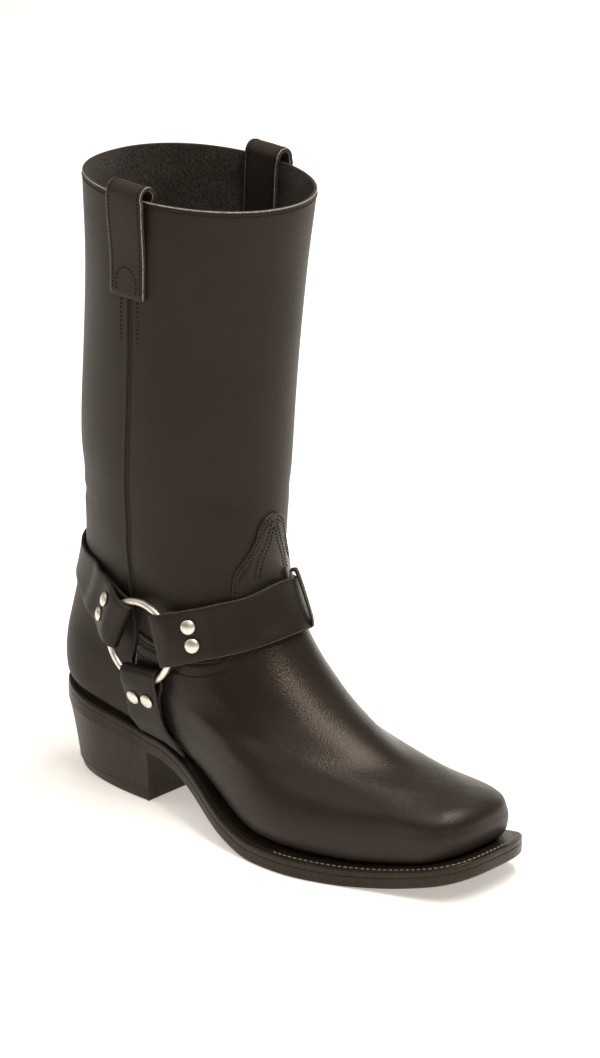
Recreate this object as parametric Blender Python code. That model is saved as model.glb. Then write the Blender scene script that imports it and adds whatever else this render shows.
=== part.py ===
"""Motorcycle harness boot for the right foot, built from separate named pieces.

Lengths are in millimetres, and MM turns them into Blender's metres. X runs to the toe, Y to the
inner (medial) side and Z up from the floor, with X = 0 close to the back of the heel seat.
At the end the whole boot is moved so that the origin lies on the floor under its middle.

The upper is one form: closed rings from the feather line, where it meets the welt, to the collar.
A place on it is given by its level (a row number of LEVELS, with fractions between rows) and its
turn round the ring: 0 at the front centre, -1 or 1 at the back centre, negative on the outer side.
"""
import math
from collections import namedtuple

import bmesh
import bpy
import numpy as np
from mathutils import Matrix, Vector

MM = 0.001
GAP = 0.3                   # clearance between pieces that touch on the real boot
LATERAL, MEDIAL = -1, 1     # outer and inner side of a right boot
SIDES = {"lateral": LATERAL, "medial": MEDIAL}

# Driving dimensions of the sole
SOLE_LENGTH = 310.0
HEEL_BACK_X = -6.5
TOE_X = HEEL_BACK_X + SOLE_LENGTH
BREAST_X = 76.0             # front face of the heel
BREAST_RISE = 31.0          # underside of the outsole above the floor, at the breast
SEAT_SLOPE = 0.20           # rise of the heel seat towards the back
ARCH_SLOPE = 0.05           # first rise of the arch, in front of the breast
FLAT_FROM_X = 178.0         # the forefoot stands flat between these two
FLAT_TO_X = 228.0
TOE_SPRING = 15.0
OUTSOLE_THICK = 7.0
TREAD_BEVEL, LIP_BEVEL = 1.0, 0.6       # of the outsole's lower and upper edge
WELT_EDGE = 3.5             # welt thickness at its outer edge
WELT_INNER = 5.2            # and where the upper stands on it
WELT_UNDER_UPPER = 3.2      # how far the welt reaches in under the upper
WELT_INSET = 0.5            # of the welt's edge from the outsole's
ARCH_LIFT = 1.0             # the upper stands higher over the arch, where its flat faces cut the curve
ARCH_X, ARCH_REACH = 100.0, 22.0
INSOLE_CLEAR = 0.4          # between insole and welt
INSOLE_ABOVE_WELT = 1.4
HEEL_STEPS = 12             # points from the breast to the heel back
HEEL_HOLLOW = 0.85
HEEL_CAP_THICK = 7.0
CAP_BEVEL = 0.8
CAP_DROP = 1 - HEEL_CAP_THICK / BREAST_RISE     # where the cap begins, as a share of the heel's height
HEEL_BASE_BACK_X = 0.5      # the heel narrows to this outline on the floor
HEEL_BASE_HALF = 34.0
HEEL_BASE_CENTRE_Y = -1.5
HEEL_BASE_BREAST_X = 77.0
HEEL_BASE_POWER = 2.3       # 2 is half an ellipse, more is squarer

# Leather and metal
WALL = 2.2                  # upper
VAMP_FROM, VAMP_TO = 0.4, 1.7           # overlay, as heights above the upper
SEAM_TO, SEAM_WIDTH = 1.3, 3.0          # raised side seam
SEAM_EDGE = 0.75            # height of its two edges
STRAP = 2.0                 # harness strap thickness
PULL = 2.5                  # pull strap thickness
RING_RADIUS = 24.0          # to the middle of the wire
WIRE = 2.1                  # wire radius
RING_LIFT = 6.6             # ring plane above the proudest part of the ankle under it
RING_FOOTPRINT = 30.0
RING_X, RING_Z = 79.2, 104.8            # ring centre, seen from the side
RING_SEGMENTS, WIRE_SEGMENTS = 28, 6
RIVET_RADIUS, RIVET_DOME = 4.4, 1.9
RIVET_CLEAR = 0.4           # under the flat of the rivet head
RIVET_PROFILE = [(1.0, 0.0), (0.97, 0.25), (0.68, 0.76)]    # shares of its radius and dome, from the foot up
RIVET_STEPS = 10

Station = namedtuple("Station", "name x centre_y half_width")
SOLE_STATIONS = [
    Station("heel", 34.0, -1.0, 38.0),
    Station("breast", 72.0, -1.5, 35.5),
    Station("waist", 110.0, -6.5, 36.0),
    Station("fore waist", 150.0, -9.0, 46.0),
    Station("ball", 202.0, -4.5, 55.0),
    Station("toe side", 254.0, 3.5, 45.5),
    Station("toe", 296.0, 7.0, 34.5),
]
SOLE_NOSE, SOLE_NOSE_POWER = 22.0, 3.0  # length and squareness of the toe end
SOLE_TAIL, SOLE_TAIL_POWER = 43.5, 2.2

# One row per section of the upper. Front and back give the ring's two ends; the four half-widths
# lie at fixed shares of its length; nose and tail say how its ends are rounded.
Level = namedtuple("Level", "name front_x front_z back_x back_z heel waist ball toe"
                            " nose_len nose_power tail_len back_y mid_y front_y")
LEVELS = [
    Level("feather",    291.0,  23.6, -3.0,  59.5, 35.0, 30.0, 45.5, 34.5, 24, 2.8, 38, 0.0, -5.0, 7.0),
    Level("rand",       293.5,  31.0, -6.0,  64.5, 38.0, 34.0, 50.5, 36.0, 24, 2.8, 38, 0.0, -5.0, 7.0),
    Level("toe wall",   294.5,  39.0, -7.5,  72.0, 39.0, 36.0, 50.0, 36.0, 27, 2.6, 40, 0.0, -4.8, 7.0),
    Level("toe edge",   290.5,  47.0, -8.0,  80.5, 39.0, 37.0, 46.0, 35.0, 34, 2.3, 42, 0.0, -4.5, 7.0),
    Level("toe top",    271.0,  50.5, -7.5,  89.5, 38.5, 37.5, 41.0, 29.0, 50, 2.1, 44, 0.0, -4.0, 6.5),
    Level("toe back",   233.5,  56.5, -6.0,  99.0, 37.5, 37.5, 38.0, 29.5, 62, 2.0, 46, 0.0, -3.0, 4.0),
    Level("ball",       203.0,  69.5, -4.0, 109.0, 37.0, 37.5, 37.0, 33.2, 70, 2.0, 48, 0.0, -2.0, 2.5),
    Level("waist",      180.0,  86.0, -1.5, 120.0, 37.0, 37.5, 36.5, 35.5, 72, 2.0, 50, 0.0, -1.0, 1.5),
    Level("low instep", 161.5, 104.0,  1.5, 132.0, 37.5, 38.5, 38.0, 37.5, 70, 2.0, 53, 0.3, -0.5, 1.0),
    Level("instep",     147.0, 125.0,  3.8, 146.0, 39.0, 40.5, 40.5, 40.5, 66, 2.0, 58, 0.6,  0.0, 0.5),
    Level("throat",     138.0, 149.0,  4.6, 162.0, 42.0, 44.0, 44.0, 44.0, 64, 2.0, 62, 0.8,  0.5, 0.5),
    Level("ankle",      136.5, 172.0,  4.8, 181.0, 45.0, 46.5, 46.5, 46.5, 64, 2.0, 62, 1.0,  1.0, 1.0),
    Level("low shaft",  137.0, 205.0,  4.0, 210.0, 48.5, 50.0, 50.0, 50.0, 65, 2.0, 65, 1.5,  1.5, 1.5),
    Level("mid shaft",  139.5, 262.0,  7.0, 266.0, 52.5, 53.0, 53.0, 53.0, 67, 2.0, 67, 1.5,  1.5, 1.5),
    Level("high shaft", 142.5, 319.5,  8.5, 323.5, 56.5, 56.5, 56.5, 56.5, 69, 2.0, 69, 2.5,  2.5, 2.5),
    Level("collar",     146.0, 367.5,  6.5, 372.5, 59.5, 59.5, 59.5, 59.5, 71, 2.0, 71, 4.0,  4.0, 4.0),
]
HEEL_AT, WAIST_AT, BALL_AT, TOE_AT = 0.13, 0.40, 0.67, 0.90
TAIL_POWER = 2.2
NOSE_TAPER = 0.35           # how far the taper from ball to toe runs on into the nose
SAG_TOP, SAG_POWER = 7.0, 1.5           # the sole's curve fades out of the rings up to this level
TOP = len(LEVELS) - 1

# Turn of the side seam at a few levels: it joins the front of the boot to its back
Seam = namedtuple("Seam", "level turn")
SEAM = [Seam(0, 0.70), Seam(3, 0.70), Seam(5.2, 0.642), Seam(7, 0.575), Seam(8.1, 0.560), Seam(10, 0.520),
        Seam(11.5, 0.507), Seam(12.8, 0.495), Seam(TOP, 0.495)]

# Top edge of the vamp, from the peak of its tongue to the side seam (share 1)
Edge = namedtuple("Edge", "share level")
VAMP_EDGE = [Edge(0, 11.50), Edge(0.07, 11.42), Edge(0.115, 11.28), Edge(0.135, 11.02), Edge(0.20, 10.58),
             Edge(0.265, 10.22), Edge(0.29, 9.95), Edge(0.31, 9.40), Edge(0.36, 8.50), Edge(0.49, 7.75),
             Edge(0.65, 7.30), Edge(0.80, 7.02), Edge(0.93, 6.95), Edge(1, 7.05)]

# Grid of the upper: columns as shares of the way from front centre to seam and from seam to back,
# rows as levels. The vamp takes the same rows up to its edge, so the two stay parallel.
FRONT_SHARES = [0, 0.04, 0.08, 0.115, 0.145, 0.18, 0.225, 0.285, 0.36, 0.46, 0.58, 0.72, 0.86, 1]
BACK_SHARES = [0.16, 0.32, 0.48, 0.63, 0.77, 0.89, 1]
ROWS = [0, 0.5, 1.0, 1.5, 2.0, 2.5, 3.0, 3.5, 4.0, 4.6, 5.3, 6.1, 6.7, 7.3, 7.9, 8.5, 9.1, 9.7, 10.3,
        10.9, 11.8, 12.8, 13.9, TOP]
SEAM_FOOT = 5.35            # level of the side seams' lower end
SEAM_BELOW_PULL = 0.12      # their upper end, in levels under the pull strap
SEAM_BEHIND = 0.004         # turn that they keep behind the vamp
SEAM_ROWS = 17
EDGE_ROOM = 0.25            # the vamp leaves out a row closer than this to its edge
VAMP_FOOT = 0.2             # level of the vamp's lower edge

# Harness straps: half-width, direction from the ring centre (degrees, 0 forward, 90 up), height of the
# strap's underside above the upper, distance of its rivets from the ring centre, columns of its grid
Strap = namedtuple("Strap", "half_width angle base rivet_out columns")
INSTEP = Strap(15.5, 18.5, 2.3, 36.0, 3)
HEEL = Strap(15.5, 156.0, 0.6, 34.5, 3)
BOTTOM = Strap(13.0, -86.0, 3.1, 34.0, 4)
# Levels of the two strap edges, away from the rings, at a few turns; lean is how far the lower edge is ahead
# of that turn, and the upper edge behind it
Run = namedtuple("Run", "turn lean low high")
INSTEP_RUN = [Run(0.135, 0.0, 8.36, 9.66), Run(0.0, 0.0, 8.53, 9.82)]
HEEL_RUN = [Run(0.80, 0.026, 7.30, 9.28), Run(1.0, 0.0, 7.45, 9.60)]
INSTEP_ROWS, HEEL_ROWS = 8, 9           # rows of each half of these runs
RIDGE_LIFT, RIDGE_TURN = 2.6, 0.26      # the instep strap stands proud of the ridge
# Edges of the bottom strap down to the welt, as side-view places
Foot = namedtuple("Foot", "back_x back_z front_x front_z")
BOTTOM_RUN = [Foot(68.5, 57.5, 97.0, 56.0), Foot(71.0, 53.0, 102.0, 49.0), Foot(74.0, 49.0, 110.0, 42.0)]
BOTTOM_REACH = 40.0         # where those places take over from the ring's
FOLD_CLEAR = 0.35           # between wire and leather, inside the fold
LAYER_GAP = 0.3             # between the two layers of a folded strap
PINCH_FROM, PINCH_TO = 24.3, 35.0       # distance from the ring centre where the fold closes on the boot
RIVET_SIDE = 5.6            # of each rivet from the middle of its strap
LEG_REACHES = (40.0, PINCH_TO, 32.0, 29.0, 26.5, PINCH_FROM)    # rows of each leg, from its end to the ring
FOLD_INSIDE = 0.8           # the fold's middle lies this far inside the wire, at the strap's edges
FOLD_ROWS = 7
TURN_BACK_END = 45.0        # where the folded-back leg ends
END_REACH = 50.0            # end of the part that is laid out from the ring
LEAD = 9.0                  # length before that end which steers the strap's onward way
SETTLE_TO = 55.0            # and where the outer leg has come down to the boot

# Keeper: a thin band round the instep strap, just past the ridge
KEEPER = 1.0                # thickness
KEEPER_CLEAR = 0.6
KEEPER_TURN, KEEPER_WIDTH_TURN = 0.078, 0.026
KEEPER_ARCH = 1.5           # how far its outer face stands up over the strap
KEEPER_SPARE = 0.8          # more room at the strap's two edges
KEEPER_STEPS = 20
KEEPER_SQUARE = 0.35        # less gives straighter sides and tighter ends

# Pull straps
PULL_TURN = 0.497
PULL_HALF_WIDTH = 13.0
PULL_FROM_LEVEL = 13.85     # lower end of both legs
PULL_STAND_OFF = 2.7        # of each leg from the shaft, at the rim
PULL_RISE = 2.3             # straight part of the loop above the rim
PULL_OPENS = 0.25           # share of the leg that is sewn down
LEG_ROWS, BEND_ROWS = 6, 8


def smooth(knots, values, at):
    """Cubic curve through the knots, with tangents from the neighbouring slopes."""
    k = np.asarray(knots, float)
    v = np.asarray(values, float)
    t = np.asarray(at, float)
    h = np.diff(k)
    slope = np.diff(v) / h
    m = np.empty(len(k))
    m[1:-1] = (slope[:-1] * h[1:] + slope[1:] * h[:-1]) / (h[:-1] + h[1:])
    m[0] = slope[0]
    m[-1] = slope[-1]
    i = np.clip(np.searchsorted(k, t, side="right") - 1, 0, len(k) - 2)
    u = (t - k[i]) / h[i]
    start = (2 * u**3 - 3 * u**2 + 1) * v[i] + (u**3 - 2 * u**2 + u) * h[i] * m[i]
    end = (3 * u**2 - 2 * u**3) * v[i + 1] + (u**3 - u**2) * h[i] * m[i + 1]
    return start + end


def ease(low, high, value):
    """0 below low, 1 above high, and a smooth step between."""
    u = min(1.0, max(0.0, (value - low) / (high - low)))
    return u * u * (3 - 2 * u)


def unit(vector):
    return vector / np.linalg.norm(vector, axis=-1, keepdims=True)


# Heights of the sole along X

def sole_bottom(x):
    """Underside of the outsole: sloping heel seat, arch, flat tread and toe spring."""
    x = np.asarray(x, float)
    seat = BREAST_RISE + (BREAST_X - x) * SEAT_SLOPE
    run = FLAT_FROM_X - BREAST_X
    u = np.clip((x - BREAST_X) / run, 0, 1)
    arch = BREAST_RISE * (2 * u**3 - 3 * u**2 + 1) + ARCH_SLOPE * run * (u**3 - 2 * u**2 + u)
    toe = TOE_SPRING * np.clip((x - FLAT_TO_X) / (TOE_X - FLAT_TO_X), 0, 1) ** 1.8
    return np.where(x < BREAST_X, seat, np.where(x < FLAT_FROM_X, arch, toe))


def welt_bottom(x):
    return sole_bottom(x) + OUTSOLE_THICK + GAP


def feather_z(x):
    """Lower edge of the upper."""
    over_arch = ARCH_LIFT * np.exp(-((x - ARCH_X) / ARCH_REACH) ** 2)
    return welt_bottom(x) + WELT_INNER + GAP + over_arch


# Rounded outlines shared by sole and upper

def rounded_half(nose, nose_power, tail, tail_power, count=90):
    """Length shares (1 front, 0 back) and width factors of half an outline with rounded ends."""
    a = np.linspace(0, math.pi / 2, count)
    share_nose = 1 - nose * (1 - np.cos(a) ** (2 / nose_power))
    share_side = np.linspace(1 - nose, tail, count)[1:-1]
    share_tail = tail * (1 - np.sin(a) ** (2 / tail_power))
    width = [np.sin(a) ** (2 / nose_power), np.ones(count - 2), np.cos(a) ** (2 / tail_power)]
    return np.concatenate([share_nose, share_side, share_tail]), np.concatenate(width)


def run_share(*columns):
    """Share of the arc length, from 0 to 1, along a polyline given by its columns."""
    steps = np.sqrt(sum(np.diff(c) ** 2 for c in columns))
    run = np.concatenate([[0], np.cumsum(steps)])
    return run / run[-1]


def sole_half():
    """Share, x, centre and half-width along the sole's outline, from toe to heel back."""
    length_share, width = rounded_half(SOLE_NOSE / SOLE_LENGTH, SOLE_NOSE_POWER,
                                       SOLE_TAIL / SOLE_LENGTH, SOLE_TAIL_POWER)
    x = HEEL_BACK_X + SOLE_LENGTH * length_share
    knots = [HEEL_BACK_X - 5] + [s.x for s in SOLE_STATIONS] + [TOE_X]
    centres = [s.centre_y for s in SOLE_STATIONS]
    halves = [s.half_width for s in SOLE_STATIONS]
    c = smooth(knots, [centres[0]] + centres + [centres[-1]], x)
    w = smooth(knots, [halves[0]] + halves + [halves[-1] - 2.5], x) * width
    return run_share(x, w), x, c, w


def sole_outline(turns, inset=0.0):
    """Plan points of the sole's edge at these turns."""
    share, x, c, w = sole_half()
    a = np.abs(turns)
    px = np.interp(a, share, x)
    py = np.interp(a, share, c) + np.sign(turns) * np.interp(a, share, w)
    return shrink(np.column_stack([px, py]), inset)


def shrink(ring, inset):
    """A closed plan outline moved inwards."""
    if not inset:
        return ring
    along = unit(np.roll(ring, -1, axis=0) - np.roll(ring, 1, axis=0))
    normal = np.column_stack([along[:, 1], -along[:, 0]])
    outward = np.sign(np.sum(normal * (ring - ring.mean(axis=0))))
    return ring - outward * inset * normal


# The upper's form

def level_at(v):
    """The sizes of LEVELS at a level between its rows."""
    knots = np.arange(len(LEVELS))
    sizes = {f: float(smooth(knots, [getattr(r, f) for r in LEVELS], v)) for f in Level._fields[1:]}
    return Level(name="between", **sizes)


def half_ring(v):
    """Share, x, centre, half-width and z along one ring, from front centre to back centre."""
    r = level_at(v)
    length = r.front_x - r.back_x
    crowd = max(1.0, (r.nose_len + r.tail_len) / length)
    nose, tail = r.nose_len / crowd / length, r.tail_len / crowd / length
    q, width = rounded_half(nose, r.nose_power, tail, TAIL_POWER)
    x = r.back_x + length * q
    first = LEVELS[0]
    sag = feather_z(first.back_x + (first.front_x - first.back_x) * q)
    sag -= first.back_z + (first.front_z - first.back_z) * q
    z = r.back_z + (r.front_z - r.back_z) * q + sag * max(0.0, 1 - v / SAG_TOP) ** SAG_POWER
    nose_half = r.toe + (r.toe - r.ball) * NOSE_TAPER
    halves = [r.heel, r.heel, r.waist, r.ball, r.toe, nose_half]
    w = smooth([0, HEEL_AT, WAIST_AT, BALL_AT, TOE_AT, 1], halves, q)
    c = smooth([0, HEEL_AT, WAIST_AT, BALL_AT, 1], [r.back_y, r.back_y, r.mid_y, r.mid_y, r.front_y], q)
    return run_share(x, w * width, z), x, c, w * width, z


V_STEPS, S_STEPS = 240, 360


def make_form():
    """Points and outward normals of the upper's outer form on a fine grid of levels and turns."""
    turns = -1 + 2 * np.arange(S_STEPS) / S_STEPS
    a = np.abs(turns)
    rings = []
    for v in np.linspace(0, TOP, V_STEPS + 1):
        share, x, c, w, z = half_ring(v)
        y = np.interp(a, share, c) + np.sign(turns) * np.interp(a, share, w)
        rings.append(np.column_stack([np.interp(a, share, x), y, np.interp(a, share, z)]))
    grid = np.array(rings)
    across = np.roll(grid, -2, axis=1) - np.roll(grid, 2, axis=1)
    upward = np.gradient(grid, axis=0)
    return grid, unit(np.cross(across, upward))


FORM, NORMAL = make_form()


def sample(grid, level, turn):
    """Value of a form grid between its points; the turn runs on past the back centre."""
    i = np.clip(np.asarray(level, float) / TOP * V_STEPS, 0, V_STEPS - 1e-6)
    j = ((np.asarray(turn, float) + 1) / 2 * S_STEPS) % S_STEPS
    i0 = np.floor(i).astype(int)
    j0 = np.floor(j).astype(int) % S_STEPS
    j1 = (j0 + 1) % S_STEPS
    fi = (i - np.floor(i))[..., None]
    fj = (j - np.floor(j))[..., None]
    low = grid[i0, j0] * (1 - fj) + grid[i0, j1] * fj
    high = grid[i0 + 1, j0] * (1 - fj) + grid[i0 + 1, j1] * fj
    return low * (1 - fi) + high * fi


def on_upper(level, turn, height=0.0):
    """Point at a height above the upper's outer face."""
    lift = np.asarray(height, float)[..., None]
    return sample(FORM, level, turn) + unit(sample(NORMAL, level, turn)) * lift


def locate(x, z, side):
    """Level and turn of the place on one side of the upper that has this x and z."""
    half = S_STEPS // 2
    columns = np.arange(3, half - 3) if side == LATERAL else np.arange(half + 3, S_STEPS - 3)
    miss = (FORM[:, columns, 0] - x) ** 2 + (FORM[:, columns, 2] - z) ** 2
    i, k = np.unravel_index(np.argmin(miss), miss.shape)
    place = np.array([i * TOP / V_STEPS, -1 + 2 * columns[k] / S_STEPS])
    step = np.array([0.05, 0.004])
    for _ in range(4):
        here = on_upper(*place)
        to_level = (on_upper(place[0] + step[0], place[1]) - here) / step[0]
        to_turn = (on_upper(place[0], place[1] + step[1]) - here) / step[1]
        slope = np.array([[to_level[0], to_turn[0]], [to_level[2], to_turn[2]]])
        place = place + np.linalg.solve(slope, [x - here[0], z - here[2]])
    return place


def seam_turn(level):
    return smooth([s.level for s in SEAM], [s.turn for s in SEAM], level)


def vamp_edge(share):
    return np.interp(np.abs(share), [e.share for e in VAMP_EDGE], [e.level for e in VAMP_EDGE])


# Turning point grids into Blender objects

SHARP_ANGLE = math.radians(42)
MATERIALS = {
    # name: colour, roughness, metallic
    "leather": ((0.045, 0.038, 0.032), 0.45, 0.0),
    "strap_leather": ((0.040, 0.034, 0.029), 0.48, 0.0),
    "sole_edge": ((0.070, 0.062, 0.050), 0.50, 0.0),
    "rubber": ((0.030, 0.028, 0.026), 0.70, 0.0),
    "insole": ((0.110, 0.085, 0.060), 0.80, 0.0),
    "nickel": ((0.750, 0.720, 0.660), 0.28, 1.0),
}


def material(name):
    """The shared material of this name, made on first use."""
    found = bpy.data.materials.get(name)
    if found:
        return found
    colour, roughness, metallic = MATERIALS[name]
    made = bpy.data.materials.new(name)
    made.use_nodes = True
    shader = made.node_tree.nodes["Principled BSDF"]
    shader.inputs["Base Color"].default_value = (*colour, 1.0)
    shader.inputs["Roughness"].default_value = roughness
    shader.inputs["Metallic"].default_value = metallic
    made.diffuse_color = (*colour, 1.0)
    return made


def finish_mesh(mesh, material_name):
    """Material and smooth shading, with the leather's cut edges kept sharp."""
    mesh.materials.append(material(material_name))
    mesh.shade_smooth()
    mesh.set_sharp_from_angle(angle=SHARP_ANGLE)


def mesh_object(name, bm, material_name, root):
    """Close a bmesh into an object with outward normals, parented to the root empty."""
    bmesh.ops.recalc_face_normals(bm, faces=bm.faces)
    mesh = bpy.data.meshes.new(name)
    bm.to_mesh(mesh)
    bm.free()
    finish_mesh(mesh, material_name)
    obj = bpy.data.objects.new(name, mesh)
    bpy.context.scene.collection.objects.link(obj)
    obj.parent = root
    return obj


def add_rows(bm, rows):
    """Vertices of a grid of points, row by row. A point that repeats the one below shares its vertex."""
    made = []
    for i, row in enumerate(rows):
        fresh = [i == 0 or not np.allclose(p, rows[i - 1][j]) for j, p in enumerate(row)]
        made.append([bm.verts.new(Vector(p) * MM) if fresh[j] else made[-1][j] for j, p in enumerate(row)])
    return made


def join_rows(bm, a, b, wrap):
    """Faces between two rows of vertices, leaving out those with no area."""
    n = len(a)
    for j in range(n if wrap else n - 1):
        k = (j + 1) % n
        corners = list(dict.fromkeys((a[j], a[k], b[k], b[j])))
        if len(corners) > 2:
            bm.faces.new(corners)


def tube(name, rings, material_name, root):
    """A closed solid whose rings lead round and back to the first one, such as a hollow shell."""
    bm = bmesh.new()
    rows = add_rows(bm, rings)
    for i, row in enumerate(rows):
        join_rows(bm, row, rows[(i + 1) % len(rows)], wrap=True)
    return mesh_object(name, bm, material_name, root)


def ladder(bm, ring, has_front):
    """Cap a long ring with rungs from its outer to its inner side."""
    n = len(ring)
    shift = 0 if has_front else 1
    first = 1 if has_front else 0
    last = (n - shift) // 2
    if has_front:
        bm.faces.new((ring[0], ring[1], ring[n - 1]))
    for i in range(first, last):
        corners = [ring[i], ring[i + 1], ring[(n - shift - i - 1) % n], ring[(n - shift - i) % n]]
        bm.faces.new(list(dict.fromkeys(corners)))


def plate(name, rings, material_name, root, has_front=True):
    """A solid from a stack of rings, capped at both ends."""
    bm = bmesh.new()
    rows = add_rows(bm, rings)
    for low, high in zip(rows, rows[1:]):
        join_rows(bm, low, high, wrap=True)
    ladder(bm, rows[0], has_front)
    ladder(bm, rows[-1], has_front)
    return mesh_object(name, bm, material_name, root)


def slab(name, under, over, material_name, root):
    """A solid between two grids of points of the same size."""
    bm = bmesh.new()
    low = add_rows(bm, under)
    high = add_rows(bm, over)
    loops = [a + b[::-1] for a, b in zip(low, high)]
    for first, second in zip(loops, loops[1:]):
        join_rows(bm, first, second, wrap=True)
    for k in (0, -1):
        join_rows(bm, low[k], high[k], wrap=False)
    return mesh_object(name, bm, material_name, root)


def ribbon(name, middle, thickness, material_name, root):
    """A strip of leather of even thickness about a grid of points."""
    middle = np.asarray(middle)
    along = np.gradient(middle, axis=0)
    across = np.gradient(middle, axis=1)
    normal = unit(np.cross(along, across))
    return slab(name, middle - normal * thickness / 2, middle + normal * thickness / 2, material_name, root)


# Sole

OUTLINE_STEPS = 33          # points from toe to heel back, a little closer together at the toe
HALF_TURNS = np.linspace(0, 1, OUTLINE_STEPS) ** 1.15
OUTLINE_TURNS = np.concatenate([-HALF_TURNS, HALF_TURNS[-2:0:-1]])


def raised(plan, heights):
    return np.column_stack([plan, heights])


def make_outsole(root):
    edge = sole_outline(OUTLINE_TURNS)
    tread = sole_outline(OUTLINE_TURNS, inset=TREAD_BEVEL)
    lip = sole_outline(OUTLINE_TURNS, inset=LIP_BEVEL)
    low = sole_bottom(edge[:, 0])
    rings = [raised(tread, sole_bottom(tread[:, 0])), raised(edge, low + TREAD_BEVEL),
             raised(edge, low + OUTSOLE_THICK - LIP_BEVEL), raised(lip, low + OUTSOLE_THICK)]
    return plate("outsole", rings, "sole_edge", root)


def feather_plan(inset):
    """Plan of the upper's lower edge, moved inwards."""
    return shrink(on_upper(0.0, OUTLINE_TURNS)[:, :2], inset)


def make_welt(root):
    outer = sole_outline(OUTLINE_TURNS, inset=WELT_INSET)
    inner = feather_plan(WELT_UNDER_UPPER)
    rings = [raised(outer, welt_bottom(outer[:, 0])), raised(outer, welt_bottom(outer[:, 0]) + WELT_EDGE),
             raised(inner, welt_bottom(inner[:, 0]) + WELT_INNER), raised(inner, welt_bottom(inner[:, 0]))]
    return tube("welt", rings, "sole_edge", root)


def make_insole(root):
    plan = feather_plan(WELT_UNDER_UPPER + INSOLE_CLEAR)
    top = feather_z(plan[:, 0]) + INSOLE_ABOVE_WELT
    rings = [raised(plan, welt_bottom(plan[:, 0])), raised(plan, top)]
    return plate("insole", rings, "insole", root)


def heel_section(drop):
    """D-shaped outline of the heel, from breast to breast: 0 under the outsole, 1 on the floor.

    Also gives the height of the outsole's underside over each of its points."""
    steps = np.linspace(0, 1, HEEL_STEPS)
    share, x, c, w = sole_half()
    at_breast = np.interp(-BREAST_X, -x, share)
    top = [np.interp(at_breast + (1 - at_breast) * steps, share, column) for column in (x, c, w)]
    a = np.linspace(0, math.pi / 2, 60)
    length = HEEL_BASE_BREAST_X - HEEL_BASE_BACK_X
    base_x = HEEL_BASE_BREAST_X - length * np.sin(a) ** (2 / HEEL_BASE_POWER)
    base_w = HEEL_BASE_HALF * np.cos(a) ** (2 / HEEL_BASE_POWER)
    base_share = run_share(base_x, base_w)
    base = [np.interp(steps, base_share, base_x), HEEL_BASE_CENTRE_Y, np.interp(steps, base_share, base_w)]
    px, pc, pw = [high + (low - high) * drop for high, low in zip(top, base)]
    plan = np.vstack([np.column_stack([px, pc - pw]), np.column_stack([px, pc + pw])[-2::-1]])
    under = sole_bottom(top[0])
    return plan, np.concatenate([under, under[-2::-1]])


def make_heel(root):
    """Stacked heel, slightly hollow in its slope, from the outsole down to the cap."""
    foot_z = HEEL_CAP_THICK + GAP
    rings = []
    for down in (0.0, 0.35, 0.7, 1.0):
        plan, under = heel_section(CAP_DROP * down ** HEEL_HOLLOW)
        rings.append(raised(plan, (under - GAP) * (1 - down) + foot_z * down))
    return plate("heel", rings, "sole_edge", root, has_front=False)


def make_heel_cap(root):
    rings = []
    for z, drop, inset in ((HEEL_CAP_THICK, CAP_DROP, 0.0), (CAP_BEVEL, 1.0, 0.0), (0.0, 1.0, CAP_BEVEL)):
        plan, _ = heel_section(drop)
        rings.append(raised(shrink(plan, inset), np.full(len(plan), z)))
    return plate("heel_cap", rings, "rubber", root, has_front=False)


# Upper, vamp and side seams

def column_turns(level):
    """Turns of the upper's columns at one level, once round from the front centre."""
    seam = float(seam_turn(level))
    half = [seam * f for f in FRONT_SHARES] + [seam + (1 - seam) * b for b in BACK_SHARES]
    return np.array([-t for t in half] + half[-2:0:-1])


def make_upper(root):
    outer = [on_upper(v, column_turns(v)) for v in ROWS]
    inner = [on_upper(v, column_turns(v), -WALL) for v in ROWS]
    return tube("upper", outer + inner[::-1], "leather", root)


def make_vamp(root):
    """Front overlay with its tongue, from the welt to its sewn edge, between the two side seams."""
    shares = np.array(FRONT_SHARES[::-1] + [-f for f in FRONT_SHARES[1:]])
    edge = vamp_edge(shares)
    rows = [VAMP_FOOT] + [v for v in ROWS if VAMP_FOOT < v < max(edge)] + [TOP]
    levels = [np.where(v < edge - EDGE_ROOM, v, edge) for v in rows]
    turns = [shares * seam_turn(v) for v in levels]
    under = [on_upper(v, t, np.full(len(shares), VAMP_FROM)) for v, t in zip(levels, turns)]
    over = [on_upper(v, t, np.full(len(shares), VAMP_TO)) for v, t in zip(levels, turns)]
    return slab("vamp", under, over, "leather", root)


def make_side_seam(name, side, root):
    """Raised seam down the side of the shaft and through the ring, just behind the vamp."""
    levels = np.linspace(PULL_FROM_LEVEL - SEAM_BELOW_PULL, SEAM_FOOT, SEAM_ROWS)
    front = seam_turn(levels) + SEAM_BEHIND
    step = 0.02
    ahead = on_upper(levels, side * (front + step)) - on_upper(levels, side * front)
    per_turn = np.linalg.norm(ahead, axis=1) / step
    turns = [side * (front + SEAM_WIDTH / per_turn * f) for f in (0.0, 0.5, 1.0)]
    under = np.stack([on_upper(levels, t, np.full(len(levels), VAMP_FROM)) for t in turns], axis=1)
    crown = (SEAM_EDGE, SEAM_TO, SEAM_EDGE)
    over = np.stack([on_upper(levels, t, np.full(len(levels), h)) for t, h in zip(turns, crown)], axis=1)
    return slab(name, under, over, "leather", root)


# Harness rings and straps

Frame = namedtuple("Frame", "side centre forward up out")


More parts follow.
